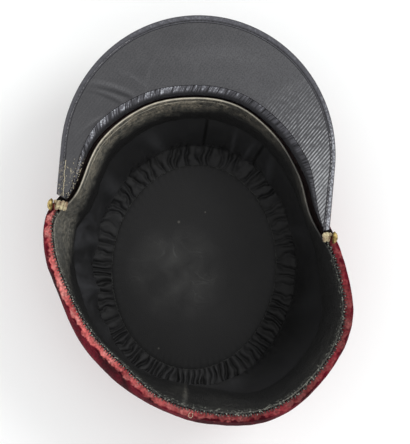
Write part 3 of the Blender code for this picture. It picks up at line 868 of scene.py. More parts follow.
def sweatband_section(turn):
    """Values: tan, grey, how far down as a share of what is worn, raw edge, and nearness to the seam."""
    tan_here, grey_here = worn("tan", turn), worn("grey", turn)
    reach = WORN_AT_LEAST + worn("reach", turn)
    stitched = 1.0 - peak_presence(turn)
    raw_right = RAW_AT_RIGHT.amount * nearness(turn, RAW_AT_RIGHT.turn, RAW_AT_RIGHT.spread)
    raw_here = max(smooth_step(1.6 * tan_here), raw_right) * (0.75 + 0.25 * uneven(turn, 0.0, 30.0, 5))
    second_line = smooth_step(3.0 * tan_here - 0.9) * (0.45 + 0.40 * uneven(turn, 0.0, 24.0, 17))
    half = SWEATBAND_THICKNESS / 2

    def entry(point, share, edge, seam):
        return point, tan_here, grey_here, share / reach, edge, seam * stitched

    back = [index / SWEATBAND_ROWS for index in range(SWEATBAND_ROWS + 1)]
    rows = [entry(sweatband_point(turn, share, 0.0), share, 0.0, 0.0) for share in back]
    for share in (*back[:3:-1], *NEAR_EDGE):
        crinkle = CRINKLE * (uneven(turn, 5.0 * share, 14.0, 4) + 0.6 * uneven(turn, 11.0 * share, 34.0, 6))
        crinkle *= (0.5 + grey_here) * smooth_step(6.0 * share)
        edge = 0.3 * raw_here if share == 0.0 else second_line if share in SECOND_LINE else 0.0
        point = sweatband_point(turn, share, SWEATBAND_THICKNESS + crinkle)
        rows.append(entry(point, share, edge, smooth_step((0.13 - share) / 0.08)))
    for step, raw_part in enumerate(RAW_ON_EDGE, 1):
        angle = math.pi * step / 4
        point = sweatband_point(turn, 0.0, half + half * math.cos(angle))
        point.z += half * math.sin(angle)
        rows.append(entry(point, 0.0, raw_part * raw_here, 1.0))
    return rows


sweatband = ring("sweatband_strip", sweatband_section, WALL_COLUMNS, ("tan", "grey", "down", "raw", "seam"))
dress(sweatband, sweat_leather, "sweatband")

# %% [markdown]
# ## The gathered lining
# The lining is one piece of black sateen: its side goes up behind the sweatband, and its lower part is gathered
# into pleats and sewn to an oval patch. The base mesh is smooth. A Geometry Nodes tree then gathers it: pleats
# follow the attribute "round", wander with noise, and fade with the attribute "gather".

# %% Black sateen
sateen, shader, place = new_material(
    "black_sateen", Roughness=0.58, Sheen_Weight=0.02, Sheen_Roughness=0.5, Specular_IOR_Level=0.25
)
broad = noisy(place, 26.0, 4.0, 0.4)
pleat = attribute(shader, "pleat")
fold_shade = attribute(shader, "shade")
draped = turned_and_scaled(place, (0.35, 0.0, 0.0), (1.0, 1.0, 0.35))
soft_folds = remap(noisy(draped, 95.0, 4.0, 0.8), 0.42, 0.62, 0.05, 1.0)
left_shine = times(near_place(place, (-0.072, 0.000, 0.045), 0.062), soft_folds, remap(axes(place)[2], 0.012, 0.030))
back_shine = times(near_place(place, (0.005, -0.070, 0.008), 0.060), remap(pleat, 0.72, 1.0))
dusty = use_group(dust_group, place, Speck_Scale=140.0, Specks=0.07, Haze=0.12)
# painted light: left_shine and back_shine are painted highlights, pleat crests are painted lighter and their valleys
# near black as shade, fold ridges lighter and seams darker, and the right side near black as shade
colour = layered(
    mix(remap(broad, 0.35, 0.68), (0.0050, 0.0050, 0.0052), (0.0110, 0.0113, 0.0122)),
    (left_shine, (0.046, 0.047, 0.052)),
    (times(remap(pleat, 0.70, 1.0), 0.45), (0.0165, 0.0165, 0.0175)),
    (times(back_shine, 0.55), (0.036, 0.036, 0.037)),
    (times(remap(fold_shade, 0.15, 1.0), 0.50), (0.036, 0.037, 0.040)),
    (remap(fold_shade, -0.10, -0.60), (0.0012, 0.0012, 0.0012)),
    (times(near_place(place, (0.066, -0.010, 0.008), 0.075), 0.85), (0.0015, 0.0015, 0.0016)),
    (remap(pleat, 0.42, 0.0), (0.001, 0.001, 0.001)),
    (times(dusty, 0.25), (0.12, 0.12, 0.11)),
)
connect(colour, shader, "Base Color")
bump(shader, noisy(place, 1600.0, 2.0), 0.0002, 0.5)

# %% The pleats' tree
def named(tree, name, kind="FLOAT"):
    """A named attribute of the mesh that the tree works on."""
    return add(tree, "GeometryNodeInputNamedAttribute", {"Name": name}, data_type=kind).outputs[0]


def moved_by(geometry, offset):
    return add(tree_of(geometry), "GeometryNodeSetPosition", {"Geometry": geometry, "Offset": offset}).outputs[0]


def put_out(geometry, material, result):
    """How each tree ends: instances made real, shaded smooth, and given their material."""
    for kind, sockets in (
        ("RealizeInstances", {}),
        ("SetShadeSmooth", {"Shade Smooth": True}),
        ("SetMaterial", {"Material": material}),
    ):
        geometry = add(tree_of(geometry), "GeometryNode" + kind, {"Geometry": geometry, **sockets}).outputs[0]
    connect(geometry, result, "Geometry")


pleat_tree, given, result = new_group(
    "GatheredPleats", "GeometryNodeTree", ("Geometry", GEOMETRY),
    Geometry=(GEOMETRY,), Pleats=(FLOAT, 52.0), Depth=(FLOAT, 0.0013), Wander=(FLOAT, 2.2), Lean=(FLOAT, 0.6),
    Material=(MATERIAL,),
)
position = pleat_tree.nodes.new("GeometryNodeInputPosition").outputs[0]
around = times(named(pleat_tree, "round"), given["Pleats"])
wander = times(minus(noisy(position, 75.0, 2.0), 0.5), given["Wander"])
lean = times(named(pleat_tree, "across"), given["Lean"])
phase = plus(around, plus(wander, lean))
ridge = maths("ABSOLUTE", maths("SINE", times(phase, math.pi)))
gather = times(named(pleat_tree, "gather"), remap(noisy(position, 90.0, 1.0), 0.3, 0.7, 0.35, 1.0))
height = times(minus(times(ridge, 2.0), 1.0), gather, given["Depth"])
# the stored value "pleat" is high on crests and where nothing is gathered, and low in valleys; the sateen paints
# highlight and shade by it
sockets = {
    "Geometry": given["Geometry"],
    "Name": "pleat",
    "Value": plus(ridge, minus(1.0, gather), clamp=True),
}
marked = add(pleat_tree, "GeometryNodeStoreNamedAttribute", sockets, data_type="FLOAT", domain="POINT")
pleated = moved_by(marked.outputs[0], vector_maths("SCALE", named(pleat_tree, "rise", "FLOAT_VECTOR"), height))
put_out(pleated, given["Material"], result)


def through_tree(source, tree, name, **values):
    """The plain mesh that a Geometry Nodes tree makes from an object, which is then removed."""
    modifier = source.modifiers.new(tree.name, "NODES")
    modifier.node_group = tree
    for item in tree.interface.items_tree:
        key = item.name.replace(" ", "_")
        if item.in_out == "INPUT" and key in values:
            modifier[item.identifier] = values[key]
    evaluated = source.evaluated_get(bpy.context.evaluated_depsgraph_get())
    mesh = bpy.data.meshes.new_from_object(evaluated)
    mesh.name = name
    bpy.data.objects.remove(source, do_unlink=True)
    return new_object(name, mesh)


# %% The lining's base
PATCH_LENGTH = 0.136
PATCH_WIDTH = 0.109
PATCH_THICKNESS = 0.0012
RING_WIDTH = 0.0120
RING_RISE = 0.0032
LINING_LAP = 0.006
LINING_BOW = 0.002
PLEAT_DEPTH = 0.0013
PATCH_HEIGHT = CROWN_THICKNESS + GAP
RING_HEIGHT = PATCH_HEIGHT + PLEAT_DEPTH
PLEATS = 78
PLEAT_CROWDING = 15.0
PLEAT_COLUMNS = 11 * PLEATS
RING_ROWS = 11
SIDE_ROWS = 30

# Soft folds of the lining's side. turn: the middle. width: degrees. depth: metres inwards. lean: degrees that
# it moves round from its foot to its top.
SideFold = namedtuple("SideFold", "turn width depth lean")
SIDE_FOLDS = (
    SideFold(140, 5, 0.0026, 12),
    SideFold(154, 4, 0.0024, -9),
    SideFold(168, 5, 0.0030, 12),
    SideFold(180, 3, 0.0022, -10),
    SideFold(190, 4, 0.0030, 12),
    SideFold(202, 3, 0.0024, -8),
    SideFold(214, 5, 0.0020, 9),
    SideFold(74, 2, 0.0018, 3),
    SideFold(68, 2, 0.0016, -2),
    SideFold(112, 5, 0.0018, 9),
    SideFold(48, 4, 0.0016, 8),
    SideFold(24, 6, 0.0016, -10),
    SideFold(338, 7, 0.0016, 12),
    SideFold(300, 8, 0.0016, -9),
)
SIDE_FOLD_GAIN = 1.35
SIDE_RIPPLE = 0.0010
SIDE_SEAMS = (91.0, 62.0, 270.0)
SIDE_SEAM_WIDTH = 0.7
SIDE_SEAM_DEPTH = 0.0011
RING_START = 0.0001
RING_REACH = RING_WIDTH + 2 * GAP - RING_START


def patch_outline(turn):
    return oval(turn, PATCH_WIDTH, PATCH_LENGTH)


def ring_line(turn, share):
    plan = patch_outline(turn) + outward(patch_outline, turn) * (RING_START + RING_REACH * share)
    return Vector((plan.x, plan.y, RING_HEIGHT + RING_RISE * share * share))


def behind_sweatband(turn, share):
    return sweatband_point(turn, share, -LINING_THICKNESS - LAYER_GAP)


def near_seams(turn):
    return sum(nearness(turn, seam, SIDE_SEAM_WIDTH) for seam in SIDE_SEAMS)


def side_line(turn, share):
    line = ring_line(turn, 1.0).lerp(behind_sweatband(turn, 1.0), share)
    middle = math.sin(math.pi * share)
    inwards = LINING_BOW * middle
    for fold in SIDE_FOLDS:
        inwards += SIDE_FOLD_GAIN * fold.depth * middle * nearness(turn, fold.turn + fold.lean * share, fold.width)
    inwards -= SIDE_SEAM_DEPTH * middle**0.3 * near_seams(turn)
    inwards += SIDE_RIPPLE * middle * uneven(turn, 3.0 * share, 11.0, 7)
    move = outward(patch_outline, turn) * -inwards
    return line + Vector((move.x, move.y, 0.0))


def side_shade(turn, share):
    """Above 0 on a fold's ridge, where a highlight is painted on the sateen, and below 0 in a seam, which is painted
    darker.
    """
    middle = math.sin(math.pi * share)
    ridges = sum(nearness(turn, fold.turn + fold.lean * share, 0.7 * fold.width) for fold in SIDE_FOLDS)
    return middle * min(1.0, ridges) - middle**0.3 * near_seams(turn)


def lining_section(turn):
    """Lower face first. Values: round, gather, across, shade and the direction that pleats rise in."""
    out = outward(patch_outline, turn)
    crowded = turn - PLEAT_CROWDING * math.sin(math.radians(turn - 90.0))
    line = []
    for index in range(RING_ROWS):
        share = index / RING_ROWS
        line.append((ring_line(turn, share), 0.55 + 0.45 * smooth_step(3.0 * share), share, 0.0, 1.0))
    pleat_reach = max(0.15, 0.34 + 0.34 * uneven(turn, 0.0, 26.0, 19))
    for index in range(SIDE_ROWS + 1):
        share = index / SIDE_ROWS
        fade = (1.0 - smooth_step((share - 0.04) / pleat_reach)) * 1.15
        up = 1.0 - smooth_step(4.0 * share)
        line.append((side_line(turn, share), fade, 1.0 + share, side_shade(turn, share), up))
    for share in (0.5, 1.0):
        line.append((behind_sweatband(turn, 1.0 - share * LINING_LAP / SWEATBAND_WIDTH), 0.0, 2.0, 0.0, 0.0))
    rows, upper = [], []
    for point, fade, across, shade, up in line:
        rise = Vector((-out.x * (1.0 - up), -out.y * (1.0 - up), up)).normalized()
        values = (crowded / FULL_TURN, fade, across, shade, rise)
        rows.append((point, *values))
        upper.append((point + rise * LINING_THICKNESS, *values))
    return rows + upper[::-1]


def make_lining_base():
    rows = [lining_section(turn) for turn in turns(PLEAT_COLUMNS)]
    plain = [[entry[:5] for entry in row] for row in rows]
    base = make_piece("lining_base", plain, ("round", "gather", "across", "shade"))
    layer = base.data.attributes.new("rise", "FLOAT_VECTOR", "POINT")
    layer.data.foreach_set("vector", [value for row in rows for entry in row for value in entry[5]])
    return base


lining = through_tree(
    make_lining_base(), pleat_tree, "gathered_lining",
    Pleats=float(PLEATS), Depth=0.94 * PLEAT_DEPTH, Wander=2.9, Lean=0.15, Material=sateen,
)
dress(lining, sateen, "lining")


def cloth_area(piece):
    """The area of one face of a thin closed piece."""
    return sum(polygon.area for polygon in piece.data.polygons) / 2


print("lining area in square metres:", round(cloth_area(lining), 4))

# %% [markdown]
# ## The lining's patch
# The oval patch lies over the crown. It is nearly flat, with slow waves and a stitched edge that is drawn down
# into a groove. Dust has settled near its middle, so its own material puts a haze there.

# %% Dusty sateen
SPECK_HEIGHT = 0.0045
Speck = namedtuple("Speck", "x y reach")
SPECKS = (Speck(-0.0126, 0.029, 0.0014), Speck(-0.0186, -0.0557, 0.0010), Speck(0.0043, 0.037, 0.0009))

patch_cloth, shader, place = new_material(
    "dusty_sateen", Roughness=0.66, Sheen_Weight=0.04, Sheen_Roughness=0.5, Specular_IOR_Level=0.30
)
threads = noisy(place, 1500.0, 2.0)
broad = noisy(place, 24.0, 4.0, 0.6)
colour = mix(remap(broad, 0.35, 0.70), (0.0108, 0.0108, 0.0112), (0.0136, 0.0136, 0.0141))
dusty = use_group(dust_group, place, Speck_Scale=120.0, Specks=0.09, Haze=0.10)
smudge = near_place(place, (-0.0115, -0.0040, 0.004), 0.035)
cloud = times(smudge, remap(noisy(place, 60.0, 6.0, 0.4), 0.35, 0.70, 0.15, 1.0))
streaks = turned_and_scaled(place, (0.0, 0.0, 0.15), (0.45, 1.0, 1.0))
contour = maths("ABSOLUTE", minus(noisy(streaks, 90.0, 4.0, 1.0), 0.5))
few = remap(noisy(place, 55.0, 2.0), 0.48, 0.62)
scratch = times(remap(contour, 0.022, 0.0), few, smudge)
smudge_part = plus(times(cloud, 0.32), times(scratch, 0.25))
dust_mask = plus(times(dusty, 0.17), smudge_part, clamp=True)
colour = mix(dust_mask, colour, (0.12, 0.12, 0.115))
for speck in SPECKS:
    here = near_place(place, (speck.x, speck.y, SPECK_HEIGHT), speck.reach)
    colour = mix(times(here, 0.6), colour, (0.20, 0.19, 0.17))
connect(colour, shader, "Base Color")
bump(shader, threads, 0.0002, 0.5)

# %% The patch
PATCH_RINGS = 30
PATCH_GROOVE = 0.0012
PATCH_DRAW = 0.0003
PATCH_WAVE = 0.00035
PATCH_PULL = 0.0002
PATCH_PULL_REACH = 0.004
PATCH_COLUMNS = 270
PATCH_INSETS = (0.0003, 0.0008, 0.0014, 0.0020, 0.0030, 0.0042)
PATCH_FACE = PATCH_HEIGHT + 0.9 * PATCH_THICKNESS


def patch_column(turn):
    edge = patch_outline(turn)
    line = [Vector((edge.x, edge.y, PATCH_HEIGHT + lift)) for lift in (0.0, 0.55 * PATCH_THICKNESS)]
    shares = [1.0 - inset * 2 / PATCH_WIDTH for inset in PATCH_INSETS]
    shares += [shares[-1] * (1.0 - (index + 1) / PATCH_RINGS) for index in range(PATCH_RINGS - 1)]
    for share in shares:
        plan = edge * share
        inset = (1.0 - share) * PATCH_WIDTH / 2
        groove = PATCH_DRAW * math.exp(-((inset / PATCH_GROOVE) ** 2))
        wave = PATCH_WAVE * noise.noise(Vector((plan.x * 38.0, plan.y * 38.0, 3.0))) * smooth_step(inset / 0.01)
        pull = PATCH_PULL * math.sin(math.radians(turn) * PLEATS) * math.exp(-((inset / PATCH_PULL_REACH) ** 2))
        line.append(Vector((plan.x, plan.y, PATCH_FACE - groove + wave + pull)))
    return line


patch_columns = [patch_column(turn) for turn in turns(PATCH_COLUMNS)]
patch = disc("lining_patch", patch_columns, (0.0, 0.0, PATCH_HEIGHT), (0.0, 0.0, PATCH_FACE))
dress(patch, patch_cloth, "lining_top")

# %% [markdown]
# ## The peak
# The peak is stiff leather: patent on its upper face, which is hidden below, and a ribbed lining on the face that
# shows. It rises outwards at a steady slope from its root on the rim, so a point of it is a distance along a line
# from the cap's middle and a lift above its lower face.

# %% Sizes and points of the peak
PEAK_HALF_WIDTH = 0.0836
PEAK_SHIFT_SIDE = -0.0031
PEAK_ROUND_START = 0.070
PEAK_ROUND_LENGTH = 0.0855
PEAK_SLOPE = 23.0
PEAK_THICKNESS = 0.0016
PEAK_ROOT_RISE = 0.0019
PEAK_ROOT_CLEARANCE = 0.0001
PEAK_LINING_THICKNESS = 0.0006
PEAK_LINING_MARGIN = 2.0
BINDING_THICKNESS = 0.0006
BINDING_WIDTH = 0.0033
STRIP_WIDTH = 0.006
STRIP_THICKNESS = 0.0011
STRIP_SHARE_AT_ENDS = 0.25
PEAK_COLUMNS = 300


def peak_reach(direction):
    """How far the peak's outline is from the origin in a direction seen from above."""
    side_edge = PEAK_SHIFT_SIDE + math.copysign(PEAK_HALF_WIDTH, direction.x)
    if direction.x != 0.0:
        straight = side_edge / direction.x
        if straight * direction.y <= PEAK_ROUND_START:
            return straight
    across = direction.x / PEAK_HALF_WIDTH
    ahead = direction.y / PEAK_ROUND_LENGTH
    across_start = -PEAK_SHIFT_SIDE / PEAK_HALF_WIDTH
    ahead_start = -PEAK_ROUND_START / PEAK_ROUND_LENGTH
    square = across * across + ahead * ahead
    middle = across * across_start + ahead * ahead_start
    rest = across_start * across_start + ahead_start * ahead_start - 1.0
    return (-middle + math.sqrt(middle * middle - square * rest)) / square


@lru_cache(maxsize=None)
def peak_span(turn):
    """The peak's root point, the direction to its edge seen from above, and the distance between them."""
    root = over_edge(turn, RIM_WIDTH - PEAK_ROOT_CLEARANCE, PEAK_ROOT_RISE)
    plan = Vector((root.x, root.y))
    direction = plan.normalized()
    return root, direction, peak_reach(direction) - plan.length


def peak_point(turn, from_root, lift):
    """A point of the peak, at a distance from its root seen from above and a lift over its lower face."""
    root, direction, _ = peak_span(turn)
    rise = from_root * math.tan(math.radians(PEAK_SLOPE)) + lift
    return root + Vector((direction.x * from_root, direction.y * from_root, rise))


def peak_distance(turn):
    return peak_span(turn)[2]


def strip_end(turn):
    """The seam strip's width, less near the peak's ends, where the binding leaves little room."""
    return min(STRIP_WIDTH, STRIP_SHARE_AT_ENDS * (peak_distance(turn) - BINDING_WIDTH))


# %% Patent leather
patent, shader, place = new_material("patent_leather", Roughness=0.16, Coat_Weight=0.6, Coat_Roughness=0.06)
scuffs = use_group(wear_group, place, Scale=130.0, Amount=0.30, Softness=0.10)
colour = mix(times(scuffs, 0.6), (0.010, 0.010, 0.012), (0.055, 0.050, 0.046))
connect(colour, shader, "Base Color")
grain = use_group(grain_group, place, Scale=260.0, Creases=2.0)
bump(shader, grain, 0.00012, 0.35)

# %% The peak's board
PEAK_ROWS_LOW = 16
PEAK_ROWS_HIGH = 60


def peak_sheet(name, near, far, lows, highs, margin, names=(), value_at=None):
    """A layer of the peak; lows and highs give the lift of each face at (turn, distance, share)."""

    def section(turn):
        start, end = near(turn), far(turn)
        faces = [(lows, index / PEAK_ROWS_LOW) for index in range(PEAK_ROWS_LOW + 1)]
        faces += [(highs, index / PEAK_ROWS_HIGH) for index in range(PEAK_ROWS_HIGH, -1, -1)]
        row = []
        for lifts, share in faces:
            away = start + (end - start) * share
            point = peak_point(turn, away, lifts(turn, away, share))
            row.append((point, value_at(turn, away)) if value_at else (point,))
        return row

    places = spread_turns(PEAK_FIRST_TURN + margin, PEAK_LAST_TURN - margin, PEAK_COLUMNS)
    return strip(name, section, places, names)


def flush(lift):
    return lambda turn, away, share: lift


board = peak_sheet("peak_board", lambda turn: 0.0, peak_distance, flush(0.0), flush(PEAK_THICKNESS), 0.0)
dress(board, patent, "peak")

# %% [markdown]
# ## The ribbed lining of the peak
# The underside is lined with thin leather embossed with fine slanting ribs 1.7 mm apart. On the right their tops
# carry a painted highlight and their valleys painted shade, and they are nearly rubbed flat elsewhere. The leather is
# painted lighter towards the right and darker on the left, as light and shade. The ribs are a sine wave on Object
# coordinates; a few soft wrinkles are real shape, from a table, with painted highlight on their ridges and painted
# shade in their creases.

# %% Ribbed leather
RIB_PITCH = 0.00172
RIB_ANGLE = math.radians(146.0)

ribbed, shader, place = new_material("ribbed_leather", Specular_IOR_Level=0.38)
across_cap, along_cap, _ = axes(place)
rib_x = times(across_cap, math.cos(RIB_ANGLE) * math.tau / RIB_PITCH)
rib_y = times(along_cap, math.sin(RIB_ANGLE) * math.tau / RIB_PITCH)
slack = times(noisy(place, 60.0, 3.0), 2.6)
ribs = maths("SINE", plus(rib_x, rib_y, slack))
rib_height = remap(ribs, -1.0, 1.0)
crisp_and_lit_ribs = near_place(place, (0.071, 0.064, 0.088), 0.062)
broken = remap(noisy(place, 330.0, 5.0), 0.36, 0.64, 0.10, 1.15)
side_light = near_place(place, (0.085, 0.070, 0.088), 0.13)
scrim = noisy(place, 1300.0, 2.0)
clouds = noisy(place, 32.0, 5.0, 0.5)
fold = attribute(shader, "fold")
painted_rib_highlight = times(remap(rib_height, 0.58, 1.0), times(broken, remap(crisp_and_lit_ribs, 0.0, 1.0, 0.025, 0.95)))
painted_rib_valley_shade = times(remap(rib_height, 0.45, 0.0), remap(crisp_and_lit_ribs, 0.0, 1.0, 0.03, 0.75))
dusty = use_group(dust_group, place, Speck_Scale=150.0, Specks=0.06, Haze=0.10)
dirt = times(near_place(place, (-0.0735, 0.0490, 0.087), 0.015), remap(noisy(place, 620.0, 6.0), 0.58, 0.66))
# painted light: side_light and the lower right are painted lighter and the left darker as shade; wrinkle ridges are
# painted lighter and creases darker by fold; the ribs get a painted highlight and painted valley shade
colour = layered(
    mix(remap(clouds, 0.35, 0.65), (0.052, 0.052, 0.056), (0.062, 0.062, 0.066)),
    (times(side_light, 0.50), (0.120, 0.122, 0.132)),
    (times(near_place(place, (0.0765, 0.0560, 0.088), 0.034), 0.8), (0.26, 0.267, 0.28)),
    (times(near_place(place, (-0.072, 0.080, 0.088), 0.055), 0.45), (0.034, 0.034, 0.038)),
    (remap(fold, 0.0, -0.7), (0.022, 0.022, 0.025)),
    (times(remap(fold, 0.0, 1.0), 0.5), (0.130, 0.130, 0.138)),
    (times(remap(scrim, 0.55, 0.40), 0.48), (0.024, 0.024, 0.027)),
    (painted_rib_highlight, (0.46, 0.47, 0.49)),
    (painted_rib_valley_shade, (0.022, 0.022, 0.025)),
    (times(dusty, 0.35), (0.25, 0.25, 0.25)),
    (times(dirt, 0.85), (0.34, 0.30, 0.21)),
)
connect(colour, shader, "Base Color")
connect(remap(crisp_and_lit_ribs, 0.0, 1.0, 0.56, 0.40), shader, "Roughness")
rib_bump = times(rib_height, remap(crisp_and_lit_ribs, 0.0, 1.0, 0.04, 1.0))
bump(shader, plus(rib_bump, times(scrim, 0.5)), 0.00022, 0.8)

# %% Wrinkles and the lining's shape
# x and y in metres on the cap. slant in degrees. length, width and height in metres; a negative height is a crease.
Wrinkle = namedtuple("Wrinkle", "x y slant length width height")
WRINKLES = (
    Wrinkle(-0.0560, 0.1080, -14, 0.016, 0.0014, 0.0007),
    Wrinkle(-0.0545, 0.1050, -12, 0.016, 0.0012, -0.0008),
    Wrinkle(-0.0590, 0.1010, -20, 0.013, 0.0012, -0.0006),
    Wrinkle(-0.0590, 0.1030, -18, 0.013, 0.0013, 0.0006),
    Wrinkle(-0.0640, 0.0870, 32, 0.011, 0.0013, -0.0004),
    Wrinkle(-0.0650, 0.0885, 32, 0.011, 0.0013, 0.0005),
    Wrinkle(-0.0460, 0.1150, -24, 0.010, 0.0014, 0.0004),
    Wrinkle(-0.0380, 0.1180, 78, 0.012, 0.0010, 0.0003),
    Wrinkle(0.0520, 0.1180, 35, 0.014, 0.0030, 0.0004),
    Wrinkle(0.0000, 0.1340, 5, 0.024, 0.0050, 0.0004),
)


def wrinkle_height(x, y):
    total = 0.0
    for row in WRINKLES:
        slant = math.radians(row.slant)
        along = (x - row.x) * math.cos(slant) + (y - row.y) * math.sin(slant)
        over = (y - row.y) * math.cos(slant) - (x - row.x) * math.sin(slant)
        over += 0.12 * along * along / row.length
        total += row.height * math.exp(-((along / row.length) ** 2) - (over / row.width) ** 2)
    return total


# the wrinkles' height, which the material reads to paint creases darker and ridges lighter
def fold_at(turn, away):
    point = peak_point(turn, away, 0.0)
    return wrinkle_height(point.x, point.y) / 0.0008


def lining_high(turn, away, share):
    point = peak_point(turn, away, 0.0)
    edge = smooth_step(16.0 * share) * smooth_step(16.0 * (1.0 - share))
    wave = 0.00018 * noise.noise(Vector((point.x * 55.0, point.y * 55.0, 1.0)))
    wrinkles = max(-0.0003, wrinkle_height(point.x, point.y))
    return PEAK_THICKNESS + GAP + PEAK_LINING_THICKNESS * (0.7 + 0.3 * edge) + (wave + wrinkles) * edge


ribbed_lining = peak_sheet(
    "ribbed_lining",
    lambda turn: strip_end(turn) + GAP,
    lambda turn: peak_distance(turn) - BINDING_WIDTH - GAP,
    flush(PEAK_THICKNESS + GAP),
    lining_high,
    PEAK_LINING_MARGIN,
    ("fold",),
    fold_at,
)
dress(ribbed_lining, ribbed, "peak_lining")

# %% [markdown]
# ## The puckered strip and the binding
# A narrow strip covers the seam at the peak's root. It was sewn on tight, so it is puckered across, and its crests
# are painted lighter with pale specks, partly wear and partly painted highlight. A binding is folded round the peak's
# edge, with a stitched groove beside the lining that is painted darker as shade. Both are long strips whose section
# changes along the way, so both are made from sections. Each place where they are worn or painted lighter is a turn
# and a spread, in degrees.

# %% Shiny worn leather
shiny, shader, place = new_material("shiny_leather", Specular_IOR_Level=0.30)
crest = attribute(shader, "crest")
broad = use_group(wear_group, place, Scale=85.0, Amount=0.60, Softness=0.16)
spots = remap(noisy(place, 820.0, 3.0), 0.46, 0.57)
painted_glint_and_wear = times(remap(crest, 0.52, 0.95), times(spots, remap(broad, 0.0, 1.0, 0.60, 1.0)))
dirt = times(near_place(place, (-0.0735, 0.0480, 0.087), 0.019), remap(noisy(place, 620.0, 6.0), 0.54, 0.62))
# the crests are painted lighter and speckled with pale glints: partly wear, partly painted highlight
colour = layered(
    mix(crest, (0.004, 0.004, 0.006), (0.130, 0.130, 0.149)),
    (painted_glint_and_wear, (0.44, 0.46, 0.50)),
    (times(dirt, 0.90), (0.36, 0.31, 0.22)),
)
connect(colour, shader, "Base Color")
connect(remap(crest, 0.0, 1.0, 0.50, 0.30), shader, "Roughness")
grain = use_group(grain_group, place, Scale=800.0, Creases=1.0)
bump(shader, grain, 0.0002, 0.6)

# %% The puckered seam strip
STRIP_COLUMNS = 900
STRIP_ROWS = 14
STRIP_PUCKERS = 250.0
STRIP_RUBBED_AND_LIT_AT = (122.0, 46.0)


def pucker_at(turn, share):
    """Between 0 and 1: uneven ridges that run a little slantwise across the strip."""
    slanted = turn + 1.6 * share
    coarse = uneven(slanted, 0.6 * share, STRIP_PUCKERS * 0.45, 11)
    fine = uneven(slanted, 1.2 * share, STRIP_PUCKERS, 12)
    return min(1.0, max(0.0, 0.5 + 0.8 * coarse + 0.7 * fine))


def seam_strip_section(turn):
    end = strip_end(turn)
    # the crests are painted lighter about this turn, for wear and for highlight
    rubbed_and_lit_here = 0.42 + 0.85 * nearness(turn, *STRIP_RUBBED_AND_LIT_AT)
    low = PEAK_THICKNESS + GAP
    rows = [(peak_point(turn, end * share, low), 0.0) for share in (0.0, 0.5, 1.0)]
    for index in range(STRIP_ROWS, -1, -1):
        share = index / STRIP_ROWS
        round_off = math.sin(math.pi * min(1.0, max(0.0, 0.06 + 0.88 * share))) ** 0.5
        ridge = pucker_at(turn, share)
        lift = STRIP_THICKNESS * round_off * (0.40 + 0.60 * ridge * (0.35 + 0.65 * share))
        rows.append((peak_point(turn, end * share, low + lift), rubbed_and_lit_here * ridge * smooth_step(2.6 * share - 0.6)))
    return rows


def along_peak(name, section, columns, node):
    """A narrow strip of shiny leather from one end of the peak to the other."""
    places = spread_turns(PEAK_FIRST_TURN, PEAK_LAST_TURN, columns)
    dress(strip(name, section, places, ("crest",)), shiny, node)


along_peak("puckered_strip", seam_strip_section, STRIP_COLUMNS, "peak_seam_strip")

# %% The binding
BINDING_COLUMNS = 640
BINDING_ROWS = 8
NOSE_ROWS = 8
BINDING_GROOVE = 0.0009
GROOVE_DEPTH = 0.00035
GROOVE_WIDTH = 0.0005
BINDING_ROUGHNESS = 0.00035
SILVERED_AT = (26.0, 18.0)
DULLED_AT = (92.0, 42.0)
FRAYED_AT = (160.0, 12.0)


def binding_section(turn):
    wrap = GAP + BINDING_THICKNESS
    edge = peak_distance(turn)
    inner = edge - BINDING_WIDTH
    silvered = nearness(turn, *SILVERED_AT)
    dulled = 0.16 * nearness(turn, *DULLED_AT)
    rough = 0.25 + 0.75 * silvered + 0.4 * nearness(turn, *FRAYED_AT)
    rows = [(peak_point(turn, inner + BINDING_WIDTH * share, -wrap), 0.2) for share in (0.0, 0.5, 1.0)]
    for index in range(1, NOSE_ROWS):
        angle = math.pi * (index / NOSE_ROWS - 0.5)
        middle = PEAK_THICKNESS / 2
        reach = edge + wrap * math.cos(angle)
        rows.append((peak_point(turn, reach, middle + (middle + wrap) * math.sin(angle)), 0.35))
    for index in range(BINDING_ROWS + 1):
        share = index / BINDING_ROWS
        from_inner = BINDING_WIDTH * (1.0 - share)
        ridge = uneven(turn + 1.5 * share, 0.4 * share, 70.0, 13)
        groove = GROOVE_DEPTH * math.exp(-(((from_inner - BINDING_GROOVE) / GROOVE_WIDTH) ** 2))
        lift = PEAK_THICKNESS + wrap + BINDING_ROUGHNESS * rough * ridge - groove
        shine = silvered * smooth_step(2.5 * from_inner / BINDING_WIDTH - 0.8)
        # the stitched groove is painted darker here, as shade
        crest_value = 0.42 + dulled + 0.35 * rough * ridge + shine - 900.0 * groove
        rows.append((peak_point(turn, inner + from_inner, lift), max(0.0, crest_value)))
    for away, lift in (
        (inner, PEAK_THICKNESS + GAP),
        (edge + GAP, PEAK_THICKNESS + GAP),
        (edge + GAP, -GAP),
        (inner, -GAP),
    ):
        rows.append((peak_point(turn, away, lift), 0.0))
    return rows


along_peak("folded_binding", binding_section, BINDING_COLUMNS, "peak_binding")

# %% [markdown]
# ## Twisted cord
# The chin cord, the wound knots and loose threads are all strands twisted round a path. One Geometry Nodes tree
# makes them: it copies the path for each strand, moves each copy round the path as it goes along, and gives it
# thickness. Real strands look right from every side, which a painted twist doesn't.

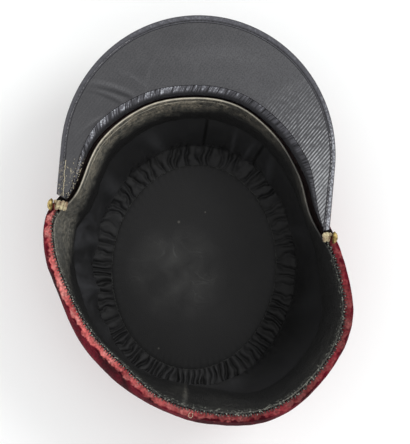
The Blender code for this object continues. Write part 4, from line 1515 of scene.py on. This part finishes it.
# %% The cord's tree
cord_tree, given, result = new_group(
    "TwistedCord", "GeometryNodeTree", ("Geometry", GEOMETRY),
    Geometry=(GEOMETRY,), Step=(FLOAT, 0.0005), Strands=(WHOLE, 3), Spread=(FLOAT, 0.0008),
    Strand_Radius=(FLOAT, 0.0008), Twists_per_Metre=(FLOAT, 160.0), Sides=(WHOLE, 7), Material=(MATERIAL,),
)
sockets = {"Curve": given["Geometry"], "Length": given["Step"]}
stepped = add(cord_tree, "GeometryNodeResampleCurve", sockets, mode="LENGTH").outputs[0]
sockets = {"Geometry": stepped, "Amount": given["Strands"]}
copies = add(cord_tree, "GeometryNodeDuplicateElements", sockets, domain="SPLINE").outputs
length = cord_tree.nodes.new("GeometryNodeSplineParameter").outputs["Length"]
turned = times(length, times(given["Twists per Metre"], math.tau))
share = maths("DIVIDE", copies["Duplicate Index"], given["Strands"])
angle = plus(turned, times(share, math.tau))
tangent, normal = (cord_tree.nodes.new("GeometryNodeInput" + kind).outputs[0] for kind in ("Tangent", "Normal"))
first = vector_maths("SCALE", normal, maths("COSINE", angle))
second = vector_maths("SCALE", vector_maths("CROSS_PRODUCT", tangent, normal), maths("SINE", angle))
moved = moved_by(copies["Geometry"], vector_maths("SCALE", vector_maths("ADD", first, second), given["Spread"]))
sockets = {"Resolution": given["Sides"], "Radius": given["Strand Radius"]}
profile = add(cord_tree, "GeometryNodeCurvePrimitiveCircle", sockets).outputs[0]
sockets = {"Curve": moved, "Profile Curve": profile, "Fill Caps": True}
put_out(add(cord_tree, "GeometryNodeCurveToMesh", sockets).outputs[0], given["Material"], result)


def path(name, points, cyclic=False):
    """A plain curve through points, for a tree to read."""
    curve = bpy.data.curves.new(name, "CURVE")
    curve.dimensions = "3D"
    spline = curve.splines.new("POLY")
    spline.points.add(len(points) - 1)
    for spline_point, point in zip(spline.points, points):
        spline_point.co = (*point, 1.0)
    spline.use_cyclic_u = cyclic
    return new_object(name, curve)


def path_length(points, cyclic=False):
    ends = points[1:] + ([points[0]] if cyclic else [])
    return sum((end - start).length for start, end in zip(points, ends))


def twisted(name, points, diameter, material, pitch, cyclic=False, strands=3):
    """A cord of twisted strands along points. Its twists come out whole on a closed path."""
    twists = round(path_length(points, cyclic) / pitch) / path_length(points, cyclic)
    radius = diameter * (0.27 if strands > 2 else 0.25)
    return through_tree(
        path(name + "_path", points, cyclic), cord_tree, name,
        Step=pitch / 9, Strands=strands, Spread=diameter / 2 - radius, Strand_Radius=radius,
        Twists_per_Metre=twists, Material=material,
    )


# %% Gilt cord and aged brass
def cord_material(name, first, second, metallic, roughness):
    material, shader, place = new_material(
        name, Roughness=roughness, Metallic=metallic, Sheen_Weight=0.15, Sheen_Roughness=0.5
    )
    fibres = noisy(place, 1500.0, 3.0, 0.5)
    tarnish = noisy(place, 330.0, 5.0)
    colour = mix(remap(tarnish, 0.35, 0.65), first, second)
    shade = remap(fibres, 0.3, 0.7, 0.70, 1.15)
    connect(vector_maths("SCALE", colour, shade), shader, "Base Color")
    bump(shader, fibres, 0.0003, 0.5)
    return material


gilt_cord = cord_material("gilt_cord", (0.42, 0.30, 0.12), (0.62, 0.48, 0.24), 0.35, 0.45)
pale_cord = cord_material("pale_cord", (0.20, 0.12, 0.07), (0.62, 0.55, 0.34), 0.0, 0.75)
cream_thread = cord_material("cream_thread", (0.55, 0.48, 0.33), (0.66, 0.60, 0.45), 0.0, 0.85)
dark_thread = cord_material("dark_thread", (0.008, 0.008, 0.008), (0.030, 0.033, 0.028), 0.0, 0.85)
faded_thread = cord_material("faded_thread", (0.10, 0.115, 0.095), (0.42, 0.43, 0.36), 0.0, 0.85)
pale_thread = cord_material("pale_thread", (0.12, 0.12, 0.125), (0.42, 0.42, 0.43), 0.0, 0.75)

brass, shader, place = new_material("aged_brass", Metallic=0.85)
stain = noisy(place, 420.0, 6.0, 0.4)
worn_gilt = remap(stain, 0.40, 0.62)
connect(mix(worn_gilt, (0.16, 0.11, 0.035), (0.55, 0.41, 0.15)), shader, "Base Color")
connect(remap(worn_gilt, 0.0, 1.0, 0.60, 0.32), shader, "Roughness")
bump(shader, stain, 0.0002, 0.5)

# %% The chin cord
CORD_DIAMETER = 0.0032
CORD_SPACING = 0.0046
CORD_DROP = 0.0035
CORD_END_MARGIN = 3.0
KNOT_HEIGHT = 0.0056
KNOT_CORD = 0.0031
BUTTON_DIAMETER = 0.0078
BUTTON_THICKNESS = 0.0032
CORD_PITCH = 0.0052
CORD_TUCK = 4.5
CORD_POINTS = 150
BIGHT_STEPS = 8


def cord_point(turn, drop):
    return below_edge(turn, drop, -CORD_DIAMETER / 2 - LAYER_GAP)


def chin_cord_route():
    """Two strands under the peak, joined by a bight at each end, as one closed loop."""
    first = PEAK_FIRST_TURN + CORD_END_MARGIN + CORD_TUCK
    last = PEAK_LAST_TURN - CORD_END_MARGIN - CORD_TUCK
    middle = CORD_DROP + CORD_SPACING / 2
    bight = math.degrees(CORD_SPACING / HEAD_WIDTH)
    places = spread_turns(first, last, CORD_POINTS)
    route = [cord_point(turn, CORD_DROP) for turn in places]
    for end, way, start in ((last, 1.0, 90.0), (first, -1.0, -90.0)):
        for step in range(1, BIGHT_STEPS):
            angle = math.radians(start - way * 180.0 * step / BIGHT_STEPS)
            drop = middle - CORD_SPACING / 2 * math.sin(angle) * way
            route.append(cord_point(end + way * bight * math.cos(angle), drop))
        if way > 0:
            route += [cord_point(turn, CORD_DROP + CORD_SPACING) for turn in reversed(places)]
    return route


route = chin_cord_route()
chin_cord = twisted("chin_cord_loop", route, CORD_DIAMETER, gilt_cord, CORD_PITCH, cyclic=True)
dress(chin_cord, gilt_cord, "chin_cord")
print("chin cord loop in metres:", round(path_length(route, True), 3))

# %% The wound knots
KNOT_STEPS = 22
KNOT_PITCH = 0.0042


def end_place(end, along, radius):
    place = over_edge(knot_turn(end), RIM_WIDTH, RIM_ROUND + GAP + radius)
    return place + Vector((end.way * (along - end.inside), 0.0, 0.0))


def knot_route(end):
    """A cord wound round a level axis, each turn beside the last."""
    points = []
    cord = 0.5 * KNOT_CORD
    for index in range(end.wound * KNOT_STEPS + 1):
        turn = index / KNOT_STEPS
        angle = math.tau * turn + 0.6
        wobble = 1.0 + 0.10 * math.sin(2.3 * turn + 1.0)
        along = 0.7 * cord + (end.wound * KNOT_CORD - 1.4 * cord) * index / (end.wound * KNOT_STEPS)
        radius_y = (KNOT_LENGTH / 2 - 0.9 * cord) * wobble
        radius_z = KNOT_HEIGHT / 2 - 0.9 * cord
        middle = end_place(end, along, KNOT_HEIGHT / 2)
        points.append(middle + Vector((0.0, radius_y * math.cos(angle), radius_z * math.sin(angle))))
    return points


for end in CORD_ENDS:
    knot = twisted("wound_knot_" + end.side, knot_route(end), 0.82 * KNOT_CORD, pale_cord, KNOT_PITCH)
    dress(knot, pale_cord, "cord_knot_" + end.side)

# %% The side buttons
BUTTON_SIDES = 56
BUTTON_PROFILE = (
    (0.00, 0.30), (0.00, 0.78), (0.10, 0.90), (0.22, 0.99), (0.34, 1.00), (0.42, 0.97), (0.46, 0.90),
    (0.48, 0.84), (0.56, 0.82), (0.70, 0.72), (0.82, 0.56), (0.92, 0.36), (0.98, 0.16),
)


def make_button(end):
    """A plain domed button with a rolled rim, facing sideways."""
    radius = BUTTON_DIAMETER / 2
    middle = end_place(end, end.wound * KNOT_CORD + GAP, radius)

    def at(along, across, angle):
        reach = across * radius
        offset = (end.way * along * BUTTON_THICKNESS, reach * math.cos(angle), reach * math.sin(angle))
        return middle + Vector(offset)

    columns = [
        [at(along, across, math.tau * index / BUTTON_SIDES) for along, across in BUTTON_PROFILE]
        for index in range(BUTTON_SIDES)
    ]
    return disc("domed_button_" + end.side, columns, at(0.0, 0.0, 0.0), at(1.0, 0.0, 0.0))


for end in CORD_ENDS:
    dress(make_button(end), brass, "button_" + end.side)

# %% [markdown]
# ## Stitches
# Whip stitches hold the velvet to the sweatband, and more stitches run round the lining's patch and along the
# binding. Each is the same small spindle, set many times. Python finds the places and the way each stitch lies; a
# Geometry Nodes tree sets the spindles there, varies their slant and size with a fixed seed, and makes them real.

# %% The stitches' tree
stitch_tree, given, result = new_group(
    "Stitches", "GeometryNodeTree", ("Geometry", GEOMETRY),
    Geometry=(GEOMETRY,), Length=(FLOAT, 0.0024), Thickness=(FLOAT, 0.0005), Slant=(FLOAT, 0.3),
    Scatter=(FLOAT, 0.0), Seed=(WHOLE, 7), Material=(MATERIAL,),
)
STRAY = Vector((1.0, 1.0, 0.3))


def chance(low, high, seed, kind="FLOAT"):
    """A random value for each stitch. The node has a pair of sockets for each kind of value."""
    first = 0 if kind == "FLOAT_VECTOR" else 2
    sockets = {first: low, first + 1: high, "Seed": seed}
    return add(stitch_tree, "FunctionNodeRandomValue", sockets, data_type=kind).outputs[first // 2]


spindle = add(stitch_tree, "GeometryNodeMeshUVSphere", {"Segments": 6, "Rings": 5, "Radius": 0.5}).outputs[0]
slanted = chance(times(given["Slant"], -1.0), given["Slant"], given["Seed"])
sockets = {"Vector": named(stitch_tree, "way", "FLOAT_VECTOR")}
aim = add(stitch_tree, "FunctionNodeAlignRotationToVector", sockets, axis="Z").outputs[0]
sockets = {"Axis": named(stitch_tree, "up", "FLOAT_VECTOR"), "Angle": slanted}
tilt = add(stitch_tree, "FunctionNodeAxisAngleToRotation", sockets).outputs[0]
turned = add(stitch_tree, "FunctionNodeRotateRotation", {0: aim, 1: tilt}, rotation_space="GLOBAL").outputs[0]
sockets = {0: given["Thickness"], 1: given["Thickness"], 2: given["Length"]}
size = add(stitch_tree, "ShaderNodeCombineXYZ", sockets).outputs[0]
varied = vector_maths("SCALE", size, chance(0.75, 1.2, plus(given["Seed"], 1.0)))
stray = chance(-STRAY, STRAY, plus(given["Seed"], 2.0), "FLOAT_VECTOR")
as_points = add(stitch_tree, "GeometryNodeMeshToPoints", {"Mesh": given["Geometry"]}).outputs[0]
sockets = {
    "Points": moved_by(as_points, vector_maths("SCALE", stray, given["Scatter"])),
    "Instance": spindle,
    "Rotation": turned,
    "Scale": varied,
}
placed = add(stitch_tree, "GeometryNodeInstanceOnPoints", sockets).outputs[0]
put_out(placed, given["Material"], result)


def stitches(name, places, material, length, thickness, slant, scatter):
    """places holds (point, way, up) for each stitch."""
    mesh = bpy.data.meshes.new(name + "_points")
    mesh.from_pydata([place[0] for place in places], [], [])
    for value_name, index in (("way", 1), ("up", 2)):
        layer = mesh.attributes.new(value_name, "FLOAT_VECTOR", "POINT")
        layer.data.foreach_set("vector", [value for place in places for value in place[index]])
    source = new_object(name + "_points", mesh)
    sizes = {"Length": length, "Thickness": thickness, "Slant": slant, "Scatter": scatter}
    piece = through_tree(source, stitch_tree, name, Material=material, **sizes)
    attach(piece, "root")
    print(name, "stitches:", len(places), "faces:", len(piece.data.polygons))
    return piece


# %% Whip stitches and the binding's stitches
WHIP_SPACING = 0.0017
FLECK_SPACING = 0.0013
BINDING_STITCH = 0.0024
PATCH_STITCHES = 190
INTO_VELVET = 0.0008
OVER_LEATHER = 0.0004
STITCH_LIFT = 0.0003
STITCH_SINK = 0.00012
STEP_ALONG = 0.2
UP = Vector((0.0, 0.0, 1.0))


def whip_places(spacing):
    """Across the seam between velvet and sweatband, all round but under the peak."""
    places = []
    turn = PEAK_LAST_TURN + 4.0
    while turn < PEAK_FIRST_TURN - 4.0 + FULL_TURN:
        here = turn % FULL_TURN
        velvet_side = over_edge(here, RIM_WIDTH - INTO_VELVET, 0.95 * RIM_ROUND + back_seam_rise(here))
        leather_side = sweatband_point(here, 0.0, 0.35 * SWEATBAND_THICKNESS) + OVER_LEATHER * UP
        way = leather_side - velvet_side
        places.append((velvet_side.lerp(leather_side, 0.5) + STITCH_LIFT * UP, way.normalized(), UP))
        turn += math.degrees(spacing / rim_outline(here).length)
    return places


def binding_places(first, last):
    """Along the binding's groove."""
    lift = PEAK_THICKNESS + GAP + BINDING_THICKNESS - STITCH_SINK

    def in_groove(turn):
        return peak_point(turn, peak_distance(turn) - BINDING_WIDTH + BINDING_GROOVE, lift)

    places = []
    turn = first
    while turn < last:
        point = in_groove(turn)
        after = in_groove(turn + STEP_ALONG)
        places.append((point, (after - point).normalized(), UP))
        turn += STEP_ALONG * BINDING_STITCH / (after - point).length
    return places


def patch_places():
    """Along the patch's edge, where the gathers are sewn down."""
    places = []
    for turn in turns(PATCH_STITCHES):
        point = patch_outline(turn)
        way = patch_outline((turn + 0.5) % FULL_TURN) - point
        places.append((Vector((point.x, point.y, RING_HEIGHT + 0.0002)), (way.x, way.y, 0.0), UP))
    return places


WORN_BINDING_FROM = 44.0
PALE_BINDING_FROM = 116.0
dark_places = binding_places(WORN_BINDING_FROM, PALE_BINDING_FROM)
left_places = binding_places(PALE_BINDING_FROM, PEAK_LAST_TURN - 1.0)
worn_places = binding_places(PEAK_FIRST_TURN + 0.8, WORN_BINDING_FROM)
StitchRow = namedtuple("StitchRow", "name places thread length thickness slant scatter")
for row in (
    StitchRow("whip_stitches", whip_places(WHIP_SPACING), dark_thread, 0.0034, 0.0007, 0.5, 0.0003),
    StitchRow("whip_stitch_flecks", whip_places(FLECK_SPACING), faded_thread, 0.0011, 0.00055, 1.2, 0.0009),
    StitchRow("patch_stitches", patch_places(), dark_thread, 0.0022, 0.0007, 0.15, 0.0),
    StitchRow("binding_stitches", dark_places, dark_thread, 0.0017, 0.0004, 0.12, 0.0),
    StitchRow("binding_stitches_left", left_places, pale_thread, 0.0023, 0.00028, 0.08, 0.0),
    StitchRow("binding_stitches_worn", worn_places, pale_thread, 0.0018, 0.00055, 0.25, 0.0),
):
    stitches(*row)

# %% Loose threads
FRAY_DIAMETER = 0.00045
LOOP_DIAMETER = 0.00030
LOOP_POINTS = 40
LOOP_TURN = BACK_SEAM_TURN + 4.0
THREAD_PITCH = 0.0016
FIBRES = 36
FIBRE_LIFT = 0.0006


def fray_points():
    """The cream edge that shows beside the binding at its left end."""
    points = []
    for turn in spread_turns(154.0, PEAK_LAST_TURN - 0.4, 70):
        away = peak_distance(turn) - BINDING_WIDTH - 0.0003 + 0.0007 * uneven(turn, 0.0, 75.0, 14)
        points.append(peak_point(turn, away, PEAK_THICKNESS + PEAK_LINING_THICKNESS + 0.0008))
    return points


def fibre_places():
    """Short loose fibres that lie every way on the peak's worn left end."""
    places = []
    for index in range(FIBRES):
        spread, off = (index * 0.7549) % 1.0, (index * 0.5698) % 1.0
        turn = PEAK_LAST_TURN - 0.8 - 15.0 * spread
        away = 0.0006 + 0.0105 * off * off * (1.0 - 0.5 * spread)
        point = peak_point(turn, away, PEAK_THICKNESS + STRIP_THICKNESS + FIBRE_LIFT)
        places.append((point, (math.cos(2.4 * index), math.sin(2.4 * index), 0.15), UP))
    return places


def thread_loop():
    """A small loop of loose thread that stands on the velvet at the back seam."""
    middle = over_edge(LOOP_TURN, 0.4 * RIM_WIDTH, RIM_ROUND + back_seam_rise(LOOP_TURN))
    points = []
    for index in range(LOOP_POINTS):
        angle = 1.7 + 0.86 * math.tau * index / (LOOP_POINTS - 1)
        spiral = 0.0010 * (1.0 + 0.010 * index)
        offset = (spiral * math.cos(angle), 1.4 * spiral * math.sin(angle), 0.0004 + 0.00002 * index)
        points.append(middle + Vector(offset))
    return points


for name, points, diameter in (
    ("frayed_edge", fray_points(), FRAY_DIAMETER),
    ("thread_loop", thread_loop(), LOOP_DIAMETER),
):
    thread = twisted(name, points, diameter, cream_thread, THREAD_PITCH, strands=2)
    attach(thread, "root")
    print(name, "faces:", len(thread.data.polygons))
stitches("loose_fibres", fibre_places(), cream_thread, 0.0010, 0.00026, slant=0.9, scatter=0.0014)

# %% [markdown]
# ## The cloth pieces' areas
# The areas of the cloth pieces are printed. The wall and the band are straight strips, the lining is a wider strip
# taken up by its gathers, and the patch is cut to its oval.

print("areas:", [(piece.name, round(cloth_area(piece), 4)) for piece in (wall, band, lining, patch)])
